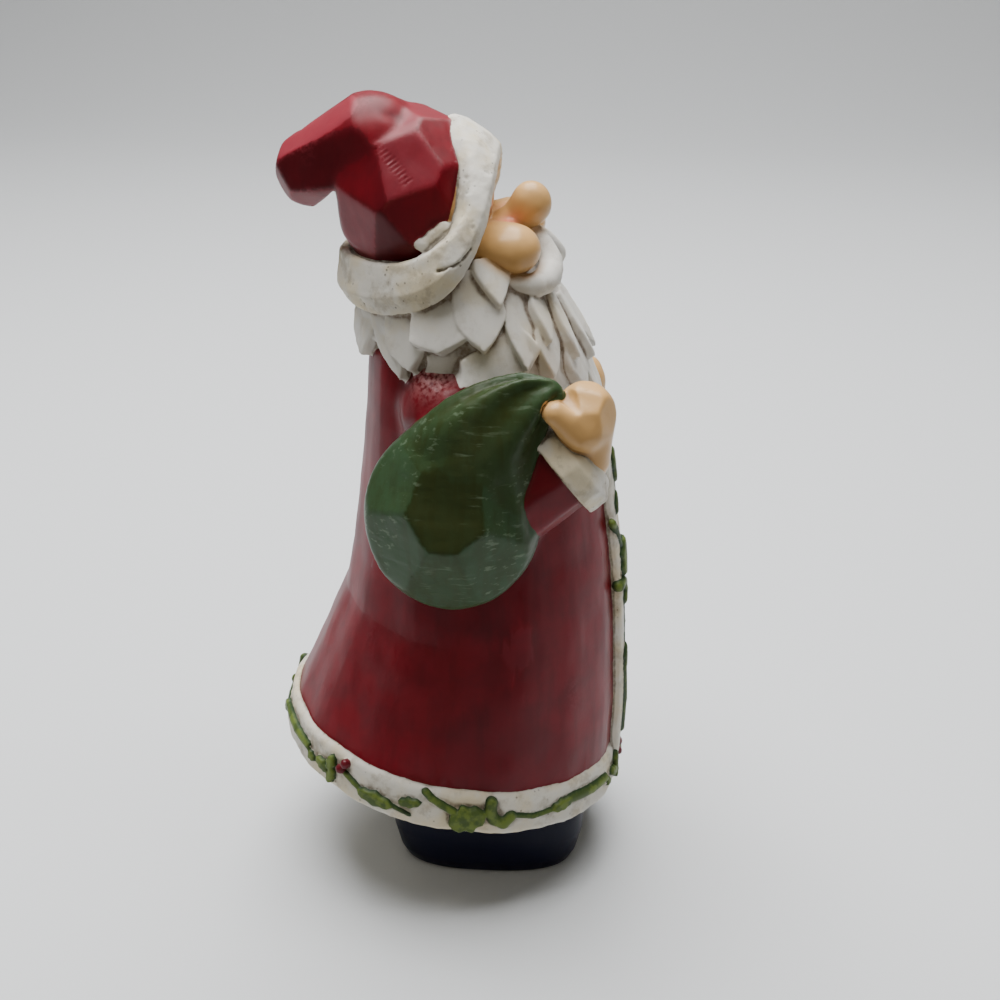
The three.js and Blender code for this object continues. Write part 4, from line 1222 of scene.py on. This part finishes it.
def backdrop():
    """A floor that curves up into a wall behind the figurine."""
    front, wall, radius, top, half = -0.13, 1.1, 0.5, 1.9, 2.4
    profile = [(front, 0.0)]
    steps = 16
    for i in range(steps + 1):
        turn = math.pi / 2 * i / steps
        profile.append((wall - radius + radius * math.sin(turn), radius - radius * math.cos(turn)))
    profile.append((wall, top))
    points = [(x, y, z) for x, z in profile for y in (-half, half)]
    faces = [(2 * i, 2 * i + 2, 2 * i + 3, 2 * i + 1) for i in range(len(profile) - 1)]
    mesh = bpy.data.meshes.new("backdrop")
    mesh.from_pydata(points, [], faces)
    mesh.shade_smooth()
    obj = placed("backdrop", mesh)
    mesh.materials.append(plain("backdrop", linear(214, 216, 218), 0.9))


def softbox(name, at, aim, size, power, colour=(1, 1, 1)):
    light = bpy.data.lights.new(name, "AREA")
    light.shape = "RECTANGLE"
    light.size, light.size_y = size
    light.energy = power
    light.color = colour
    obj = placed(name, light)
    obj.location = at
    obj.rotation_euler = (Vector(aim) - Vector(at)).to_track_quat("-Z", "Y").to_euler()


def lights():
    """Soft light from above over a small pale stage, in a dim warm room."""
    middle = (0, 0, 0.08)
    softbox("top", (0.12, 0.04, 0.62), middle, (0.55, 0.6), 10.6)
    softbox("wall", (0.45, 0.1, 0.9), (1.1, 0, 0.35), (0.5, 0.8), 0.6)
    softbox("room", (-0.9, 0.1, 0.25), middle, (0.3, 0.3), 0.35, (1, 0.82, 0.45))
    world = bpy.data.worlds.new("room")
    world.use_nodes = True
    world.node_tree.nodes["Background"].inputs[0].default_value = (1, 0.98, 0.92, 1)
    world.node_tree.nodes["Background"].inputs[1].default_value = 0.17
    bpy.context.scene.world = world


def camera():
    pitch, turn = math.radians(25), math.radians(4)
    view = Vector((math.cos(pitch) * math.cos(turn), math.cos(pitch) * math.sin(turn), -math.sin(pitch)))
    data = bpy.data.cameras.new("camera")
    data.sensor_width = 36
    data.lens = 61.2
    obj = placed("camera", data)
    obj.location = (-0.292885, -0.022981, 0.2103)
    obj.rotation_euler = view.to_track_quat("-Z", "Y").to_euler()
    bpy.context.scene.camera = obj


casting = figurine()
casting.data.materials.append(painted_resin())
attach(casting, "root")
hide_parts("santa_figurine")
backdrop()
lights()
camera()
